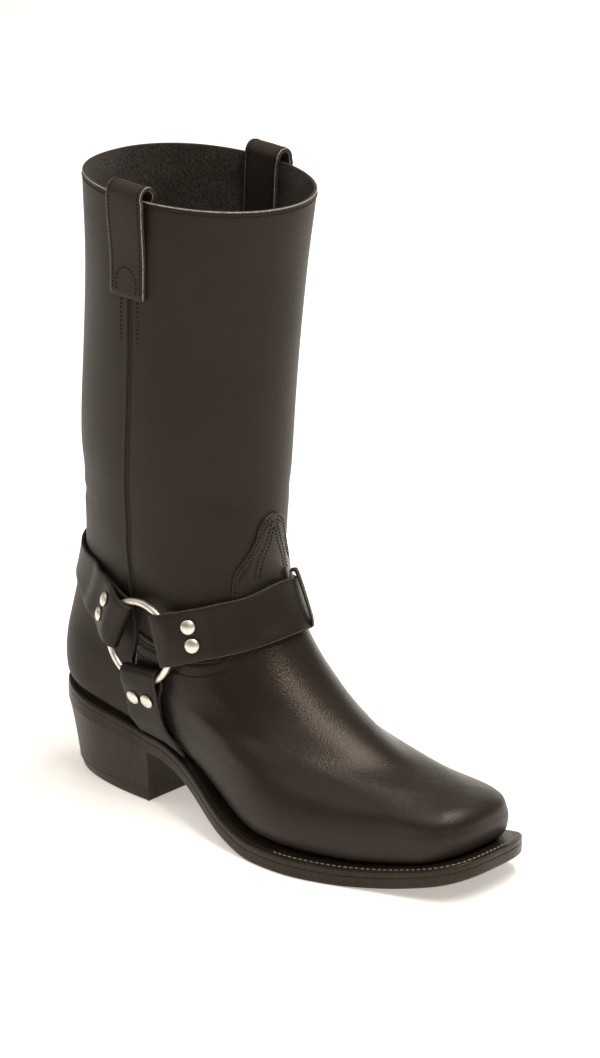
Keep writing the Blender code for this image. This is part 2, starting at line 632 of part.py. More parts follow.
def ring_frame(side):
    """Centre and axes of one harness ring, standing off the ankle."""
    places = [locate(RING_X + r * math.cos(a), RING_Z + r * math.sin(a), side)
              for r in (RING_RADIUS, RING_FOOTPRINT) for a in np.linspace(0, 2 * math.pi, 13)[1:]]
    out = unit(sum(unit(sample(NORMAL, *place)) for place in places))
    middle = on_upper(*locate(RING_X, RING_Z, side))
    proud = max(0.0, max(np.dot(on_upper(*place) - middle, out) for place in places))
    up = unit(np.array([0.0, 0.0, 1.0]) - out[2] * out)
    forward = np.cross(up, out) * -side
    return Frame(side, middle + out * (proud + RING_LIFT), forward, up, out)


def by_ring(frame, angle, reach, aside, height=0.0):
    """Point at a reach from the ring centre along an angle, to one side of it, above the ring's plane."""
    a = math.radians(angle)
    ray = math.cos(a) * frame.forward + math.sin(a) * frame.up
    cross = -math.sin(a) * frame.forward + math.cos(a) * frame.up
    return frame.centre + reach * ray + aside * cross + height * frame.out


def leg_point(frame, strap, reach, aside, ring_height, boot_height):
    """Middle of a strap leg: flat by the ring, lying on the boot further out."""
    flat = by_ring(frame, strap.angle, reach, aside, ring_height)
    level, turn = locate(flat[0], flat[2], frame.side)
    lying = on_upper(level, turn, boot_height)
    share = ease(PINCH_FROM, PINCH_TO, reach)
    return flat * (1 - share) + lying * share


def outer_height(strap, reach):
    """Height of the outer leg's middle, coming down past the end of the folded-back leg."""
    single = strap.base + STRAP / 2
    return single + (STRAP + LAYER_GAP) * (1 - ease(TURN_BACK_END, SETTLE_TO, reach))


FOLD = WIRE + FOLD_CLEAR + STRAP / 2    # radius of the fold, to the middle of the leather


def ridge_lift(turn):
    """How much higher the instep strap lies near the front centre."""
    return RIDGE_LIFT * (1 - ease(0.0, RIDGE_TURN, abs(turn)))


def strap_end(frame, strap, reach_to):
    """Rows of a strap from the end of its folded-back leg, round the ring's wire and out again."""
    sides = np.linspace(-strap.half_width, strap.half_width, strap.columns)
    crease = math.sqrt(RING_RADIUS**2 - strap.half_width**2) - FOLD_INSIDE
    rows = []
    for reach in (TURN_BACK_END,) + LEG_REACHES:
        rows.append([leg_point(frame, strap, reach, u, -FOLD, strap.base + STRAP / 2) for u in sides])
    for b in np.radians(np.linspace(-90, 90, FOLD_ROWS)):
        reach, height = crease - FOLD * math.cos(b), FOLD * math.sin(b)
        rows.append([by_ring(frame, strap.angle, reach, u, height) for u in sides])
    for reach in LEG_REACHES[::-1] + (TURN_BACK_END, END_REACH):
        if reach <= reach_to:
            height = outer_height(strap, reach)
            rows.append([leg_point(frame, strap, reach, u, FOLD, height) for u in sides])
    return rows


def run_rows(strap, knots_low, knots_high, count):
    """Rows of a strap lying on the boot, through (level, turn) knots of its two edges.

    They begin after the second knot and end at the last but one; the outer two only steer the curve."""
    low = np.array(knots_low)
    high = np.array(knots_high)
    places = (on_upper(low[:, 0], low[:, 1]) + on_upper(high[:, 0], high[:, 1])) / 2
    share = run_share(*places.T)
    steps = np.linspace(share[1], share[-2], count + 1)[1:]
    rows = []
    for t in steps:
        a = np.array([smooth(share, low[:, k], t) for k in (0, 1)])
        b = np.array([smooth(share, high[:, k], t) for k in (0, 1)])
        across = [a + (b - a) * f for f in np.linspace(0, 1, strap.columns)]
        middle = strap.base + STRAP / 2
        rows.append([on_upper(level, turn, middle + ridge_lift(turn)) for level, turn in across])
    return rows


def wrapped_half(frame, strap, run, count):
    """Rows of half a strap: from its folded end at one ring to the boot's centre line."""
    side = frame.side
    first_edge = -1 if strap.angle < 90 else 1      # lower edge first, whichever way the strap points
    starts = []
    for edge in (first_edge, -first_edge):
        reaches = (END_REACH - LEAD, END_REACH)
        laid = [by_ring(frame, strap.angle, reach, edge * strap.half_width) for reach in reaches]
        starts.append([locate(p[0], p[2], side) for p in laid])
    mirrored = Run(2 * run[-1].turn - run[-2].turn, -run[-2].lean, run[-2].low, run[-2].high)
    low = starts[0] + [(r.low, side * (r.turn + r.lean)) for r in run + [mirrored]]
    high = starts[1] + [(r.high, side * (r.turn - r.lean)) for r in run + [mirrored]]
    end = strap_end(frame, strap, END_REACH)
    if first_edge == 1:
        end = [row[::-1] for row in end]
    return end + run_rows(strap, low, high, count)


def make_wrapped_strap(name, strap, run, count, frames, root):
    """A strap from ring to ring, over the instep or round the heel."""
    halves = [wrapped_half(frame, strap, run, count) for frame in frames]
    rows = halves[0] + halves[1][-2::-1]
    return ribbon(name, rows, STRAP, "strap_leather", root)


def make_bottom_strap(name, frame, root):
    """Strap from the ring down to the welt."""
    rows = strap_end(frame, BOTTOM, BOTTOM_REACH)
    for foot in BOTTOM_RUN:
        back = locate(foot.back_x, foot.back_z, frame.side)
        front = locate(foot.front_x, foot.front_z, frame.side)
        height = outer_height(BOTTOM, RING_Z - (foot.back_z + foot.front_z) / 2)
        across = [back + (front - back) * f for f in np.linspace(0, 1, BOTTOM.columns)]
        rows.append([on_upper(level, turn, height) for level, turn in across])
    return ribbon(name, rows, STRAP, "strap_leather", root)


def make_keeper(root):
    """Closed band round the instep strap."""
    last = INSTEP_RUN[-1]
    tall = 2 * INSTEP.half_width
    per_mm = (last.high - last.low) / tall
    middle = (last.high + last.low) / 2
    turns = [KEEPER_TURN + KEEPER_WIDTH_TURN * f for f in (-0.5, 0.0, 0.5)]
    rings = []
    for k in range(KEEPER_STEPS):
        a = 2 * math.pi * k / KEEPER_STEPS
        # a flat oval about the strap's section: mostly straight sides with tight ends
        across = math.copysign(abs(math.cos(a)) ** KEEPER_SQUARE, math.cos(a))
        through = math.copysign(abs(math.sin(a)) ** KEEPER_SQUARE, math.sin(a))
        ring = []
        for turn, extra in [(u, 0) for u in turns] + [(u, KEEPER) for u in turns[::-1]]:
            arch = KEEPER_ARCH * max(0.0, through) * (1 - abs(across) ** 2)
            centre = INSTEP.base + ridge_lift(turn) + STRAP / 2
            height = centre + through * (STRAP / 2 + KEEPER_CLEAR + extra) + arch
            level = middle + across * (tall / 2 + KEEPER_CLEAR + KEEPER_SPARE + extra) * per_mm
            ring.append(on_upper(level, turn, height))
        rings.append(ring)
    return tube("strap_keeper", rings, "strap_leather", root)


def make_ring(name, frame, root):
    """Harness ring, with its own origin and axis at its centre so that it can turn in the straps."""
    bpy.ops.mesh.primitive_torus_add(major_radius=RING_RADIUS * MM, minor_radius=WIRE * MM,
                                     major_segments=RING_SEGMENTS, minor_segments=WIRE_SEGMENTS)
    ring = bpy.context.active_object
    ring.name = name
    finish_mesh(ring.data, "nickel")
    ring.parent = root
    axes = Matrix((frame.forward * -frame.side, frame.up, frame.out)).transposed()
    ring.matrix_local = Matrix.Translation(Vector(frame.centre) * MM) @ axes.to_4x4()
    return ring


def rivet_mesh():
    """Domed rivet head, standing on its own flat underside."""
    bm = bmesh.new()
    rows = []
    for radius, height in RIVET_PROFILE:
        angles = [2 * math.pi * k / RIVET_STEPS for k in range(RIVET_STEPS)]
        rows.append([(RIVET_RADIUS * radius * math.cos(a), RIVET_RADIUS * radius * math.sin(a),
                      RIVET_DOME * height) for a in angles])
    rows = add_rows(bm, rows)
    for low, high in zip(rows, rows[1:]):
        join_rows(bm, low, high, wrap=True)
    bm.faces.new(rows[0])
    crown = bm.verts.new((0, 0, RIVET_DOME * MM))
    for j, vertex in enumerate(rows[-1]):
        bm.faces.new((vertex, rows[-1][(j + 1) % RIVET_STEPS], crown))
    bmesh.ops.recalc_face_normals(bm, faces=bm.faces)
    mesh = bpy.data.meshes.new("rivet")
    bm.to_mesh(mesh)
    bm.free()
    finish_mesh(mesh, "nickel")
    return mesh


def make_rivet(name, mesh, frame, strap, aside, root):
    """One rivet on the outer leg of a strap."""
    def leg(reach, u):
        return leg_point(frame, strap, reach, u, FOLD, outer_height(strap, reach))
    r = RIVET_RADIUS
    reach_at = strap.rivet_out
    middle = leg(reach_at, aside)
    along = leg(reach_at + r, aside) - leg(reach_at - r, aside)
    across = leg(reach_at, aside + r) - leg(reach_at, aside - r)
    out = unit(np.cross(along, across))
    out = out * np.sign(np.dot(out, frame.out))
    angles = np.linspace(0, 2 * math.pi, 9)[1:]
    rim = [leg(reach_at + r * math.cos(a), aside + r * math.sin(a)) for a in angles]
    bump = max(0.0, max(np.dot(p - middle, out) for p in rim))
    rivet = bpy.data.objects.new(name, mesh)
    bpy.context.scene.collection.objects.link(rivet)
    rivet.parent = root
    rivet.location = Vector(middle + out * (bump + STRAP / 2 + RIVET_CLEAR)) * MM
    rivet.rotation_mode = "QUATERNION"
    rivet.rotation_quaternion = Vector(out).to_track_quat("Z", "Y")
    return rivet


# Pull straps

def make_pull_strap(name, side, root):
    """Loop of leather over the rim: one leg outside the shaft, one inside."""
    reach = np.linalg.norm(on_upper(TOP, PULL_TURN + 0.01) - on_upper(TOP, PULL_TURN - 0.01)) / 0.02
    turns = side * (PULL_TURN + np.linspace(-1, 1, 3) * PULL_HALF_WIDTH / reach)
    sewn = GAP + PULL / 2
    rows = []
    for share in np.linspace(0, 1, LEG_ROWS):
        level = PULL_FROM_LEVEL + (TOP - PULL_FROM_LEVEL) * share
        rows.append(on_upper(level, turns, np.full(3, sewn + PULL_STAND_OFF * ease(PULL_OPENS, 1.0, share))))
    out = unit(sample(NORMAL, TOP, side * PULL_TURN)) * np.array([1.0, 1.0, 0.0])
    rim = on_upper(TOP, turns, np.full(3, -WALL / 2)) + np.array([0.0, 0.0, PULL_RISE])
    radius = WALL / 2 + sewn + PULL_STAND_OFF
    for bend in np.linspace(0, 180, BEND_ROWS):
        b = math.radians(bend)
        rows.append(rim + out * radius * math.cos(b) + np.array([0.0, 0.0, radius * math.sin(b)]))
    for share in np.linspace(1, 0, LEG_ROWS):
        level = PULL_FROM_LEVEL + (TOP - PULL_FROM_LEVEL) * share
        inside = WALL + sewn + PULL_STAND_OFF * ease(PULL_OPENS, 1.0, share)
        rows.append(on_upper(level, turns, np.full(3, -inside)))
    return ribbon(name, rows, PULL, "strap_leather", root)


def centre_on_floor(root):
    """Move the boot so that the origin is on the floor under the middle of its box."""
    bpy.context.view_layer.update()
    corners = [o.matrix_world @ v.co for o in root.children for v in o.data.vertices]
    box = [(min(c[k] for c in corners), max(c[k] for c in corners)) for k in range(3)]
    root.location = (-sum(box[0]) / 2, -sum(box[1]) / 2, -box[2][0])
    bpy.context.view_layer.update()


def clear_scene():
    for obj in list(bpy.data.objects):
        bpy.data.objects.remove(obj, do_unlink=True)


def build():
    clear_scene()
    root = bpy.data.objects.new("boot_origin", None)
    bpy.context.scene.collection.objects.link(root)
    make_outsole(root)
    make_welt(root)
    make_insole(root)
    make_heel(root)
    make_heel_cap(root)
    make_upper(root)
    make_vamp(root)
    frames = {name: ring_frame(side) for name, side in SIDES.items()}
    rivets = rivet_mesh()
    for name, side in SIDES.items():
        make_side_seam(f"side_seam_{name}", side, root)
        make_pull_strap(f"pull_strap_{name}", side, root)
        make_ring(f"ring_{name}", frames[name], root)
        make_bottom_strap(f"bottom_strap_{name}", frames[name], root)
        for strap_name, strap in (("instep", INSTEP), ("heel", HEEL), ("bottom", BOTTOM)):
            for number, aside in enumerate((RIVET_SIDE, -RIVET_SIDE), start=1):
                make_rivet(f"rivet_{strap_name}_{name}_{number}", rivets, frames[name], strap, aside, root)
    make_wrapped_strap("instep_strap", INSTEP, INSTEP_RUN, INSTEP_ROWS, list(frames.values()), root)
    make_keeper(root)
    make_wrapped_strap("heel_strap", HEEL, HEEL_RUN, HEEL_ROWS, list(frames.values()), root)
    centre_on_floor(root)


build()
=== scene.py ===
import math
from collections import namedtuple

import bpy
import numpy as np
from mathutils import Matrix, Vector


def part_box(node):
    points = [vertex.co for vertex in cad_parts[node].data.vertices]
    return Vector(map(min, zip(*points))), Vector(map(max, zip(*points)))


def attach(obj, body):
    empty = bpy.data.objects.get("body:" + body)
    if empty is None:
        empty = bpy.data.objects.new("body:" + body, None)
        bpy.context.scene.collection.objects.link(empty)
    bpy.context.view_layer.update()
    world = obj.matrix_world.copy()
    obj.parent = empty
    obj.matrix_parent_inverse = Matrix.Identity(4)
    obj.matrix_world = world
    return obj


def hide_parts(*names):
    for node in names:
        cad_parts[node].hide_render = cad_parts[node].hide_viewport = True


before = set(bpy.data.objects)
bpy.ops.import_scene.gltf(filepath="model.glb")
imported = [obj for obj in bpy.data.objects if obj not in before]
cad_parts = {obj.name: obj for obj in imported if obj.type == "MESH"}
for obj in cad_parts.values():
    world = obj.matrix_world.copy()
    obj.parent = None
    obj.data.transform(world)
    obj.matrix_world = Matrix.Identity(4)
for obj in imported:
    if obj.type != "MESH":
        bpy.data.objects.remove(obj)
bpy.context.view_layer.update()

# Looks of a motorcycle harness boot for the right foot. Sizes are in millimetres in the boot's own
# axes (X to the toe, Y to the inner side, Z up), and place() moves them into the frame, in metres.
# A place on the upper is its level (a row of LEVELS) and its turn (0 front centre, 1 back centre,
# negative on the outer side).

MM = 0.001
LATERAL, MEDIAL = -1, 1
SIDES = {"lateral": LATERAL, "medial": MEDIAL}
GAP = 0.3                   # between solids that touch in the real boot

# The boot's form, as in the CAD model apart from how the straps run

SOLE_LENGTH = 310.0
HEEL_BACK_X = -6.5
TOE_X = HEEL_BACK_X + SOLE_LENGTH
BREAST_X = 76.0
BREAST_RISE = 31.0
SEAT_SLOPE = 0.20
ARCH_SLOPE = 0.05
FLAT_FROM_X = 178.0
FLAT_TO_X = 228.0
TOE_SPRING, TOE_SPRING_POWER = 15.0, 1.8
OUTSOLE_THICK = 7.0
WELT_EDGE = 3.5
WELT_INNER = 5.2
WELT_UNDER_UPPER = 3.2
ARCH_LIFT = 1.0
ARCH_X, ARCH_REACH = 100.0, 22.0
HEEL_HOLLOW = 0.85
HEEL_CAP_THICK = 7.0
CAP_DROP = 1 - HEEL_CAP_THICK / BREAST_RISE
HEEL_BASE_BACK_X = 0.5
HEEL_BASE_HALF = 34.0
HEEL_BASE_CENTRE_Y = -1.5
HEEL_BASE_BREAST_X = 77.0
HEEL_BASE_POWER = 2.3

WALL = 2.2
VAMP_TO = 1.7
SEAM_TO, SEAM_WIDTH = 1.2, 2.4
STRAP = 2.0
PULL = 2.5
RING_RADIUS = 24.0
WIRE = 2.1
RING_LIFT = 6.6
RING_FOOTPRINT = 30.0
RING_X, RING_Z = 79.2, 104.8
RIVET_RADIUS, RIVET_DOME = 4.4, 1.9
RIVET_CLEAR = 0.4

Station = namedtuple("Station", "name x centre_y half_width")
SOLE_STATIONS = [
    Station("heel", 34.0, -1.0, 38.0),
    Station("breast", 72.0, -1.5, 35.5),
    Station("waist", 110.0, -6.5, 36.0),
    Station("fore waist", 150.0, -9.0, 46.0),
    Station("ball", 202.0, -4.5, 55.0),
    Station("toe side", 254.0, 3.5, 45.5),
    Station("toe", 296.0, 7.0, 34.5),
]
SOLE_NOSE, SOLE_NOSE_POWER = 22.0, 3.0
SOLE_TAIL, SOLE_TAIL_POWER = 43.5, 2.2
SOLE_RUN_OUT, TOE_NARROWS = 5.0, 2.5

Level = namedtuple("Level", "name front_x front_z back_x back_z heel waist ball toe"
                            " nose_len nose_power tail_len back_y mid_y front_y")
LEVELS = [
    Level("feather",    291.0,  23.6, -3.0,  59.5, 35.0, 30.0, 45.5, 34.5, 24, 2.8, 38, 0.0, -5.0, 7.0),
    Level("rand",       293.5,  31.0, -6.0,  64.5, 38.0, 34.0, 50.5, 36.0, 24, 2.8, 38, 0.0, -5.0, 7.0),
    Level("toe wall",   294.5,  39.0, -7.5,  72.0, 39.0, 36.0, 50.0, 36.0, 27, 2.6, 40, 0.0, -4.8, 7.0),
    Level("toe edge",   290.5,  47.0, -8.0,  80.5, 39.0, 37.0, 46.0, 35.0, 34, 2.3, 42, 0.0, -4.5, 7.0),
    Level("toe top",    271.0,  50.5, -7.5,  89.5, 38.5, 37.5, 41.0, 29.0, 50, 2.1, 44, 0.0, -4.0, 6.5),
    Level("toe back",   233.5,  56.5, -6.0,  99.0, 37.5, 37.5, 38.0, 29.5, 62, 2.0, 46, 0.0, -3.0, 4.0),
    Level("ball",       203.0,  69.5, -4.0, 109.0, 37.0, 37.5, 37.0, 33.2, 70, 2.0, 48, 0.0, -2.0, 2.5),
    Level("waist",      180.0,  86.0, -1.5, 120.0, 37.0, 37.5, 36.5, 35.5, 72, 2.0, 50, 0.0, -1.0, 1.5),
    Level("low instep", 161.5, 104.0,  1.5, 132.0, 37.5, 38.5, 38.0, 37.5, 70, 2.0, 53, 0.3, -0.5, 1.0),
    Level("instep",     147.0, 125.0,  3.8, 146.0, 39.0, 40.5, 40.5, 40.5, 66, 2.0, 58, 0.6,  0.0, 0.5),
    Level("throat",     138.0, 149.0,  4.6, 162.0, 42.0, 44.0, 44.0, 44.0, 64, 2.0, 62, 0.8,  0.5, 0.5),
    Level("ankle",      136.5, 172.0,  4.8, 181.0, 45.0, 46.5, 46.5, 46.5, 64, 2.0, 62, 1.0,  1.0, 1.0),
    Level("low shaft",  137.0, 205.0,  4.0, 210.0, 48.5, 50.0, 50.0, 50.0, 65, 2.0, 65, 1.5,  1.5, 1.5),
    Level("mid shaft",  139.5, 262.0,  7.0, 266.0, 52.5, 53.0, 53.0, 53.0, 67, 2.0, 67, 1.5,  1.5, 1.5),
    Level("high shaft", 142.5, 319.5,  8.5, 323.5, 56.5, 56.5, 56.5, 56.5, 69, 2.0, 69, 2.5,  2.5, 2.5),
    Level("collar",     146.0, 367.5,  6.5, 372.5, 59.5, 59.5, 59.5, 59.5, 71, 2.0, 71, 4.0,  4.0, 4.0),
]
HEEL_AT, WAIST_AT, BALL_AT, TOE_AT = 0.13, 0.40, 0.67, 0.90
TAIL_POWER = 2.2
NOSE_TAPER = 0.35
SAG_TOP, SAG_POWER = 7.0, 1.5
TOP = len(LEVELS) - 1

Seam = namedtuple("Seam", "level turn")
SEAM = [Seam(0, 0.70), Seam(3, 0.70), Seam(5.2, 0.642), Seam(7, 0.575), Seam(8.1, 0.560), Seam(10, 0.520),
        Seam(11.5, 0.507), Seam(12.8, 0.495), Seam(TOP, 0.495)]
SEAM_FOOT = 5.35

Edge = namedtuple("Edge", "share level")
VAMP_EDGE = [Edge(0, 11.50), Edge(0.07, 11.42), Edge(0.115, 11.28), Edge(0.135, 11.02), Edge(0.20, 10.58),
             Edge(0.265, 10.22), Edge(0.29, 9.95), Edge(0.31, 9.40), Edge(0.36, 8.50), Edge(0.49, 7.75),
             Edge(0.65, 7.30), Edge(0.80, 7.02), Edge(0.93, 6.95), Edge(1, 7.05)]
VAMP_FOOT = 0.2

Strap = namedtuple("Strap", "half_width angle base rivet_out")
INSTEP = Strap(15.5, 18.5, 2.3, 36.0)
HEEL = Strap(15.5, 156.0, 0.6, 32.5)
BOTTOM = Strap(13.0, -86.0, 3.1, 34.0)
Run = namedtuple("Run", "turn lean low high")
INSTEP_RUN = [Run(0.135, 0.0, 8.24, 9.53), Run(0.0, 0.0, 8.53, 9.82)]
HEEL_RUN = [Run(0.84, 0.022, 7.31, 8.88), Run(1.0, 0.0, 7.42, 9.06)]
RIDGE_LIFT, RIDGE_TURN = 2.6, 0.26
Foot = namedtuple("Foot", "back_x back_z front_x front_z")
BOTTOM_RUN = [Foot(68.5, 57.5, 97.0, 56.0), Foot(71.0, 53.0, 102.0, 49.0), Foot(74.0, 49.0, 110.0, 42.0)]
BOTTOM_REACH = 40.0
FOLD_CLEAR = 0.35
LAYER_GAP = 0.3
PINCH_FROM, PINCH_TO = 24.3, 35.0
OUTER_PINCH_TO = 40.0
RIVET_SIDE = 5.6
FOLD_INSIDE = 0.8
TURN_BACK_END = 45.0
TUCK = 0.10
END_REACH = 50.0
LEAD = 9.0
SETTLE_TO = 55.0
FOLD = WIRE + FOLD_CLEAR + STRAP / 2

KEEPER = 1.0
KEEPER_CLEAR = 0.6
KEEPER_TURN, KEEPER_WIDTH_TURN = 0.078, 0.026
KEEPER_ARCH = 1.5
KEEPER_SPARE = 0.8
KEEPER_SQUARE = 0.35

PULL_TURN = 0.497
PULL_HALF_WIDTH = 13.0
PULL_FROM_LEVEL = 13.85
PULL_STAND_OFF = 2.7
PULL_RISE = 2.3
PULL_OPENS = 0.25


def smooth(knots, values, at):
    """Cubic curve through the knots, with tangents from the neighbouring slopes."""
    k = np.asarray(knots, float)
    v = np.asarray(values, float)
    t = np.asarray(at, float)
    h = np.diff(k)
    slope = np.diff(v) / h
    m = np.empty(len(k))
    m[1:-1] = (slope[:-1] * h[1:] + slope[1:] * h[:-1]) / (h[:-1] + h[1:])
    m[0] = slope[0]
    m[-1] = slope[-1]
    i = np.clip(np.searchsorted(k, t, side="right") - 1, 0, len(k) - 2)
    u = (t - k[i]) / h[i]
    start = (2 * u**3 - 3 * u**2 + 1) * v[i] + (u**3 - 2 * u**2 + u) * h[i] * m[i]
    end = (3 * u**2 - 2 * u**3) * v[i + 1] + (u**3 - u**2) * h[i] * m[i + 1]
    return start + end


def ease(low, high, value):
    """0 below low, 1 above high, and a smooth step between."""
    u = np.clip((np.asarray(value, float) - low) / (high - low), 0, 1)
    return u * u * (3 - 2 * u)


def unit(vector):
    return vector / np.linalg.norm(vector, axis=-1, keepdims=True)


def sole_bottom(x):
    """Underside of the outsole: sloping heel seat, arch, flat tread and toe spring."""
    x = np.asarray(x, float)
    seat = BREAST_RISE + (BREAST_X - x) * SEAT_SLOPE
    run = FLAT_FROM_X - BREAST_X
    u = np.clip((x - BREAST_X) / run, 0, 1)
    arch = BREAST_RISE * (2 * u**3 - 3 * u**2 + 1) + ARCH_SLOPE * run * (u**3 - 2 * u**2 + u)
    toe = TOE_SPRING * np.clip((x - FLAT_TO_X) / (TOE_X - FLAT_TO_X), 0, 1) ** TOE_SPRING_POWER
    return np.where(x < BREAST_X, seat, np.where(x < FLAT_FROM_X, arch, toe))


def welt_bottom(x):
    return sole_bottom(x) + OUTSOLE_THICK + GAP


def feather_z(x):
    """Lower edge of the upper."""
    over_arch = ARCH_LIFT * np.exp(-((x - ARCH_X) / ARCH_REACH) ** 2)
    return welt_bottom(x) + WELT_INNER + GAP + over_arch


def rounded_half(nose, nose_power, tail, tail_power, count=90):
    """Length shares (1 front, 0 back) and width factors of half an outline with rounded ends."""
    a = np.linspace(0, math.pi / 2, count)
    share_nose = 1 - nose * (1 - np.cos(a) ** (2 / nose_power))
    share_side = np.linspace(1 - nose, tail, count)[1:-1]
    share_tail = tail * (1 - np.sin(a) ** (2 / tail_power))
    width = [np.sin(a) ** (2 / nose_power), np.ones(count - 2), np.cos(a) ** (2 / tail_power)]
    return np.concatenate([share_nose, share_side, share_tail]), np.concatenate(width)


def run_share(*columns):
    """Share of the arc length, from 0 to 1, along a polyline given by its columns."""
    steps = np.sqrt(sum(np.diff(c) ** 2 for c in columns))
    run = np.concatenate([[0], np.cumsum(steps)])
    return run / run[-1]


def sole_half():
    """Share, x, centre and half-width along the sole's outline, from toe to heel back."""
    length_share, width = rounded_half(SOLE_NOSE / SOLE_LENGTH, SOLE_NOSE_POWER,
                                       SOLE_TAIL / SOLE_LENGTH, SOLE_TAIL_POWER)
    x = HEEL_BACK_X + SOLE_LENGTH * length_share
    knots = [HEEL_BACK_X - SOLE_RUN_OUT] + [s.x for s in SOLE_STATIONS] + [TOE_X]
    centres = [s.centre_y for s in SOLE_STATIONS]
    halves = [s.half_width for s in SOLE_STATIONS]
    c = smooth(knots, [centres[0]] + centres + [centres[-1]], x)
    w = smooth(knots, [halves[0]] + halves + [halves[-1] - TOE_NARROWS], x) * width
    return run_share(x, w), x, c, w


def shrink(ring, inset):
    """A closed plan outline moved inwards."""
    along = unit(np.roll(ring, -1, axis=0) - np.roll(ring, 1, axis=0))
    normal = np.column_stack([along[:, 1], -along[:, 0]])
    outward = np.sign(np.sum(normal * (ring - ring.mean(axis=0))))
    return ring - outward * inset * normal


def sole_outline(turns, inset=0.0):
    """Plan points of the sole's edge at these turns."""
    share, x, c, w = sole_half()
    a = np.abs(turns)
    px = np.interp(a, share, x)
    py = np.interp(a, share, c) + np.sign(turns) * np.interp(a, share, w)
    return shrink(np.column_stack([px, py]), inset)


def level_at(v):
    """The sizes of LEVELS at a level between its rows."""
    knots = np.arange(len(LEVELS))
    sizes = {f: float(smooth(knots, [getattr(r, f) for r in LEVELS], v)) for f in Level._fields[1:]}
    return Level(name="between", **sizes)


def half_ring(v):
    """Share, x, centre, half-width and z along one ring, from front centre to back centre."""
    r = level_at(v)
    length = r.front_x - r.back_x
    crowd = max(1.0, (r.nose_len + r.tail_len) / length)
    nose, tail = [ends / crowd / length for ends in (r.nose_len, r.tail_len)]
    q, width = rounded_half(nose, r.nose_power, tail, TAIL_POWER)
    x = r.back_x + length * q
    first = LEVELS[0]
    sag = feather_z(first.back_x + (first.front_x - first.back_x) * q)
    sag -= first.back_z + (first.front_z - first.back_z) * q
    z = r.back_z + (r.front_z - r.back_z) * q + sag * max(0.0, 1 - v / SAG_TOP) ** SAG_POWER
    nose_half = r.toe + (r.toe - r.ball) * NOSE_TAPER
    halves = [r.heel, r.heel, r.waist, r.ball, r.toe, nose_half]
    w = smooth([0, HEEL_AT, WAIST_AT, BALL_AT, TOE_AT, 1], halves, q)
    c = smooth([0, HEEL_AT, WAIST_AT, BALL_AT, 1], [r.back_y, r.back_y, r.mid_y, r.mid_y, r.front_y], q)
    return run_share(x, w * width, z), x, c, w * width, z


V_STEPS, S_STEPS = 240, 360  # of the form grid, in level and turn
LOCATE_ROUNDS = 4
LOCATE_STEP = (0.05, 0.004)  # of level and turn, to measure slopes by
LOCATE_MARGIN = 3           # columns by the front and back centre that locate() leaves out


def make_form():
    """Points and outward normals of the upper's outer form on a fine grid of levels and turns."""
    turns = -1 + 2 * np.arange(S_STEPS) / S_STEPS
    a = np.abs(turns)
    rings = []
    for v in np.linspace(0, TOP, V_STEPS + 1):
        share, x, c, w, z = half_ring(v)
        y = np.interp(a, share, c) + np.sign(turns) * np.interp(a, share, w)
        rings.append(np.column_stack([np.interp(a, share, x), y, np.interp(a, share, z)]))
    grid = np.array(rings)
    across = np.roll(grid, -2, axis=1) - np.roll(grid, 2, axis=1)
    upward = np.gradient(grid, axis=0)
    return grid, unit(np.cross(across, upward))


FORM, NORMAL = make_form()


def between(grid, i, j):
    """Value of a grid at a row and a column between its points; its columns close up."""
    i0 = np.floor(i).astype(int)
    j0 = np.floor(j).astype(int) % grid.shape[1]
    j1 = (j0 + 1) % grid.shape[1]
    fi = (i - np.floor(i))[..., None]
    fj = (j - np.floor(j))[..., None]
    low = grid[i0, j0] * (1 - fj) + grid[i0, j1] * fj
    high = grid[i0 + 1, j0] * (1 - fj) + grid[i0 + 1, j1] * fj
    return low * (1 - fi) + high * fi


def sample(grid, level, turn):
    """Value of a form grid at a place on the upper; the turn runs on past the back centre."""
    i = np.clip(np.asarray(level, float) / TOP * V_STEPS, 0, V_STEPS - 1e-6)
    j = ((np.asarray(turn, float) + 1) / 2 * S_STEPS) % S_STEPS
    return between(grid, i, j)


def on_upper(level, turn, height=0.0):
    """Point at a height above the upper's outer face."""
    lift = np.asarray(height, float)[..., None]
    return sample(FORM, level, turn) + unit(sample(NORMAL, level, turn)) * lift


def locate(x, z, side):
    """Level and turn of the place on one side of the upper that has this x and z."""
    half = S_STEPS // 2
    first = 0 if side == LATERAL else half
    columns = np.arange(first + LOCATE_MARGIN, first + half - LOCATE_MARGIN)
    miss = (FORM[:, columns, 0] - x) ** 2 + (FORM[:, columns, 2] - z) ** 2
    i, k = np.unravel_index(np.argmin(miss), miss.shape)
    place_at = np.array([i * TOP / V_STEPS, -1 + 2 * columns[k] / S_STEPS])
    d_level, d_turn = LOCATE_STEP
    for _ in range(LOCATE_ROUNDS):
        here = on_upper(*place_at)
        to_level = (on_upper(place_at[0] + d_level, place_at[1]) - here) / d_level
        to_turn = (on_upper(place_at[0], place_at[1] + d_turn) - here) / d_turn
        slope = np.array([[to_level[0], to_turn[0]], [to_level[2], to_turn[2]]])
        place_at = place_at + np.linalg.solve(slope, [x - here[0], z - here[2]])
    return place_at


def seam_turn(level):
    return smooth([s.level for s in SEAM], [s.turn for s in SEAM], level)


Frame = namedtuple("Frame", "side centre forward up out")
RING_TRIES = 12             # places round a ring where the boot is felt under it


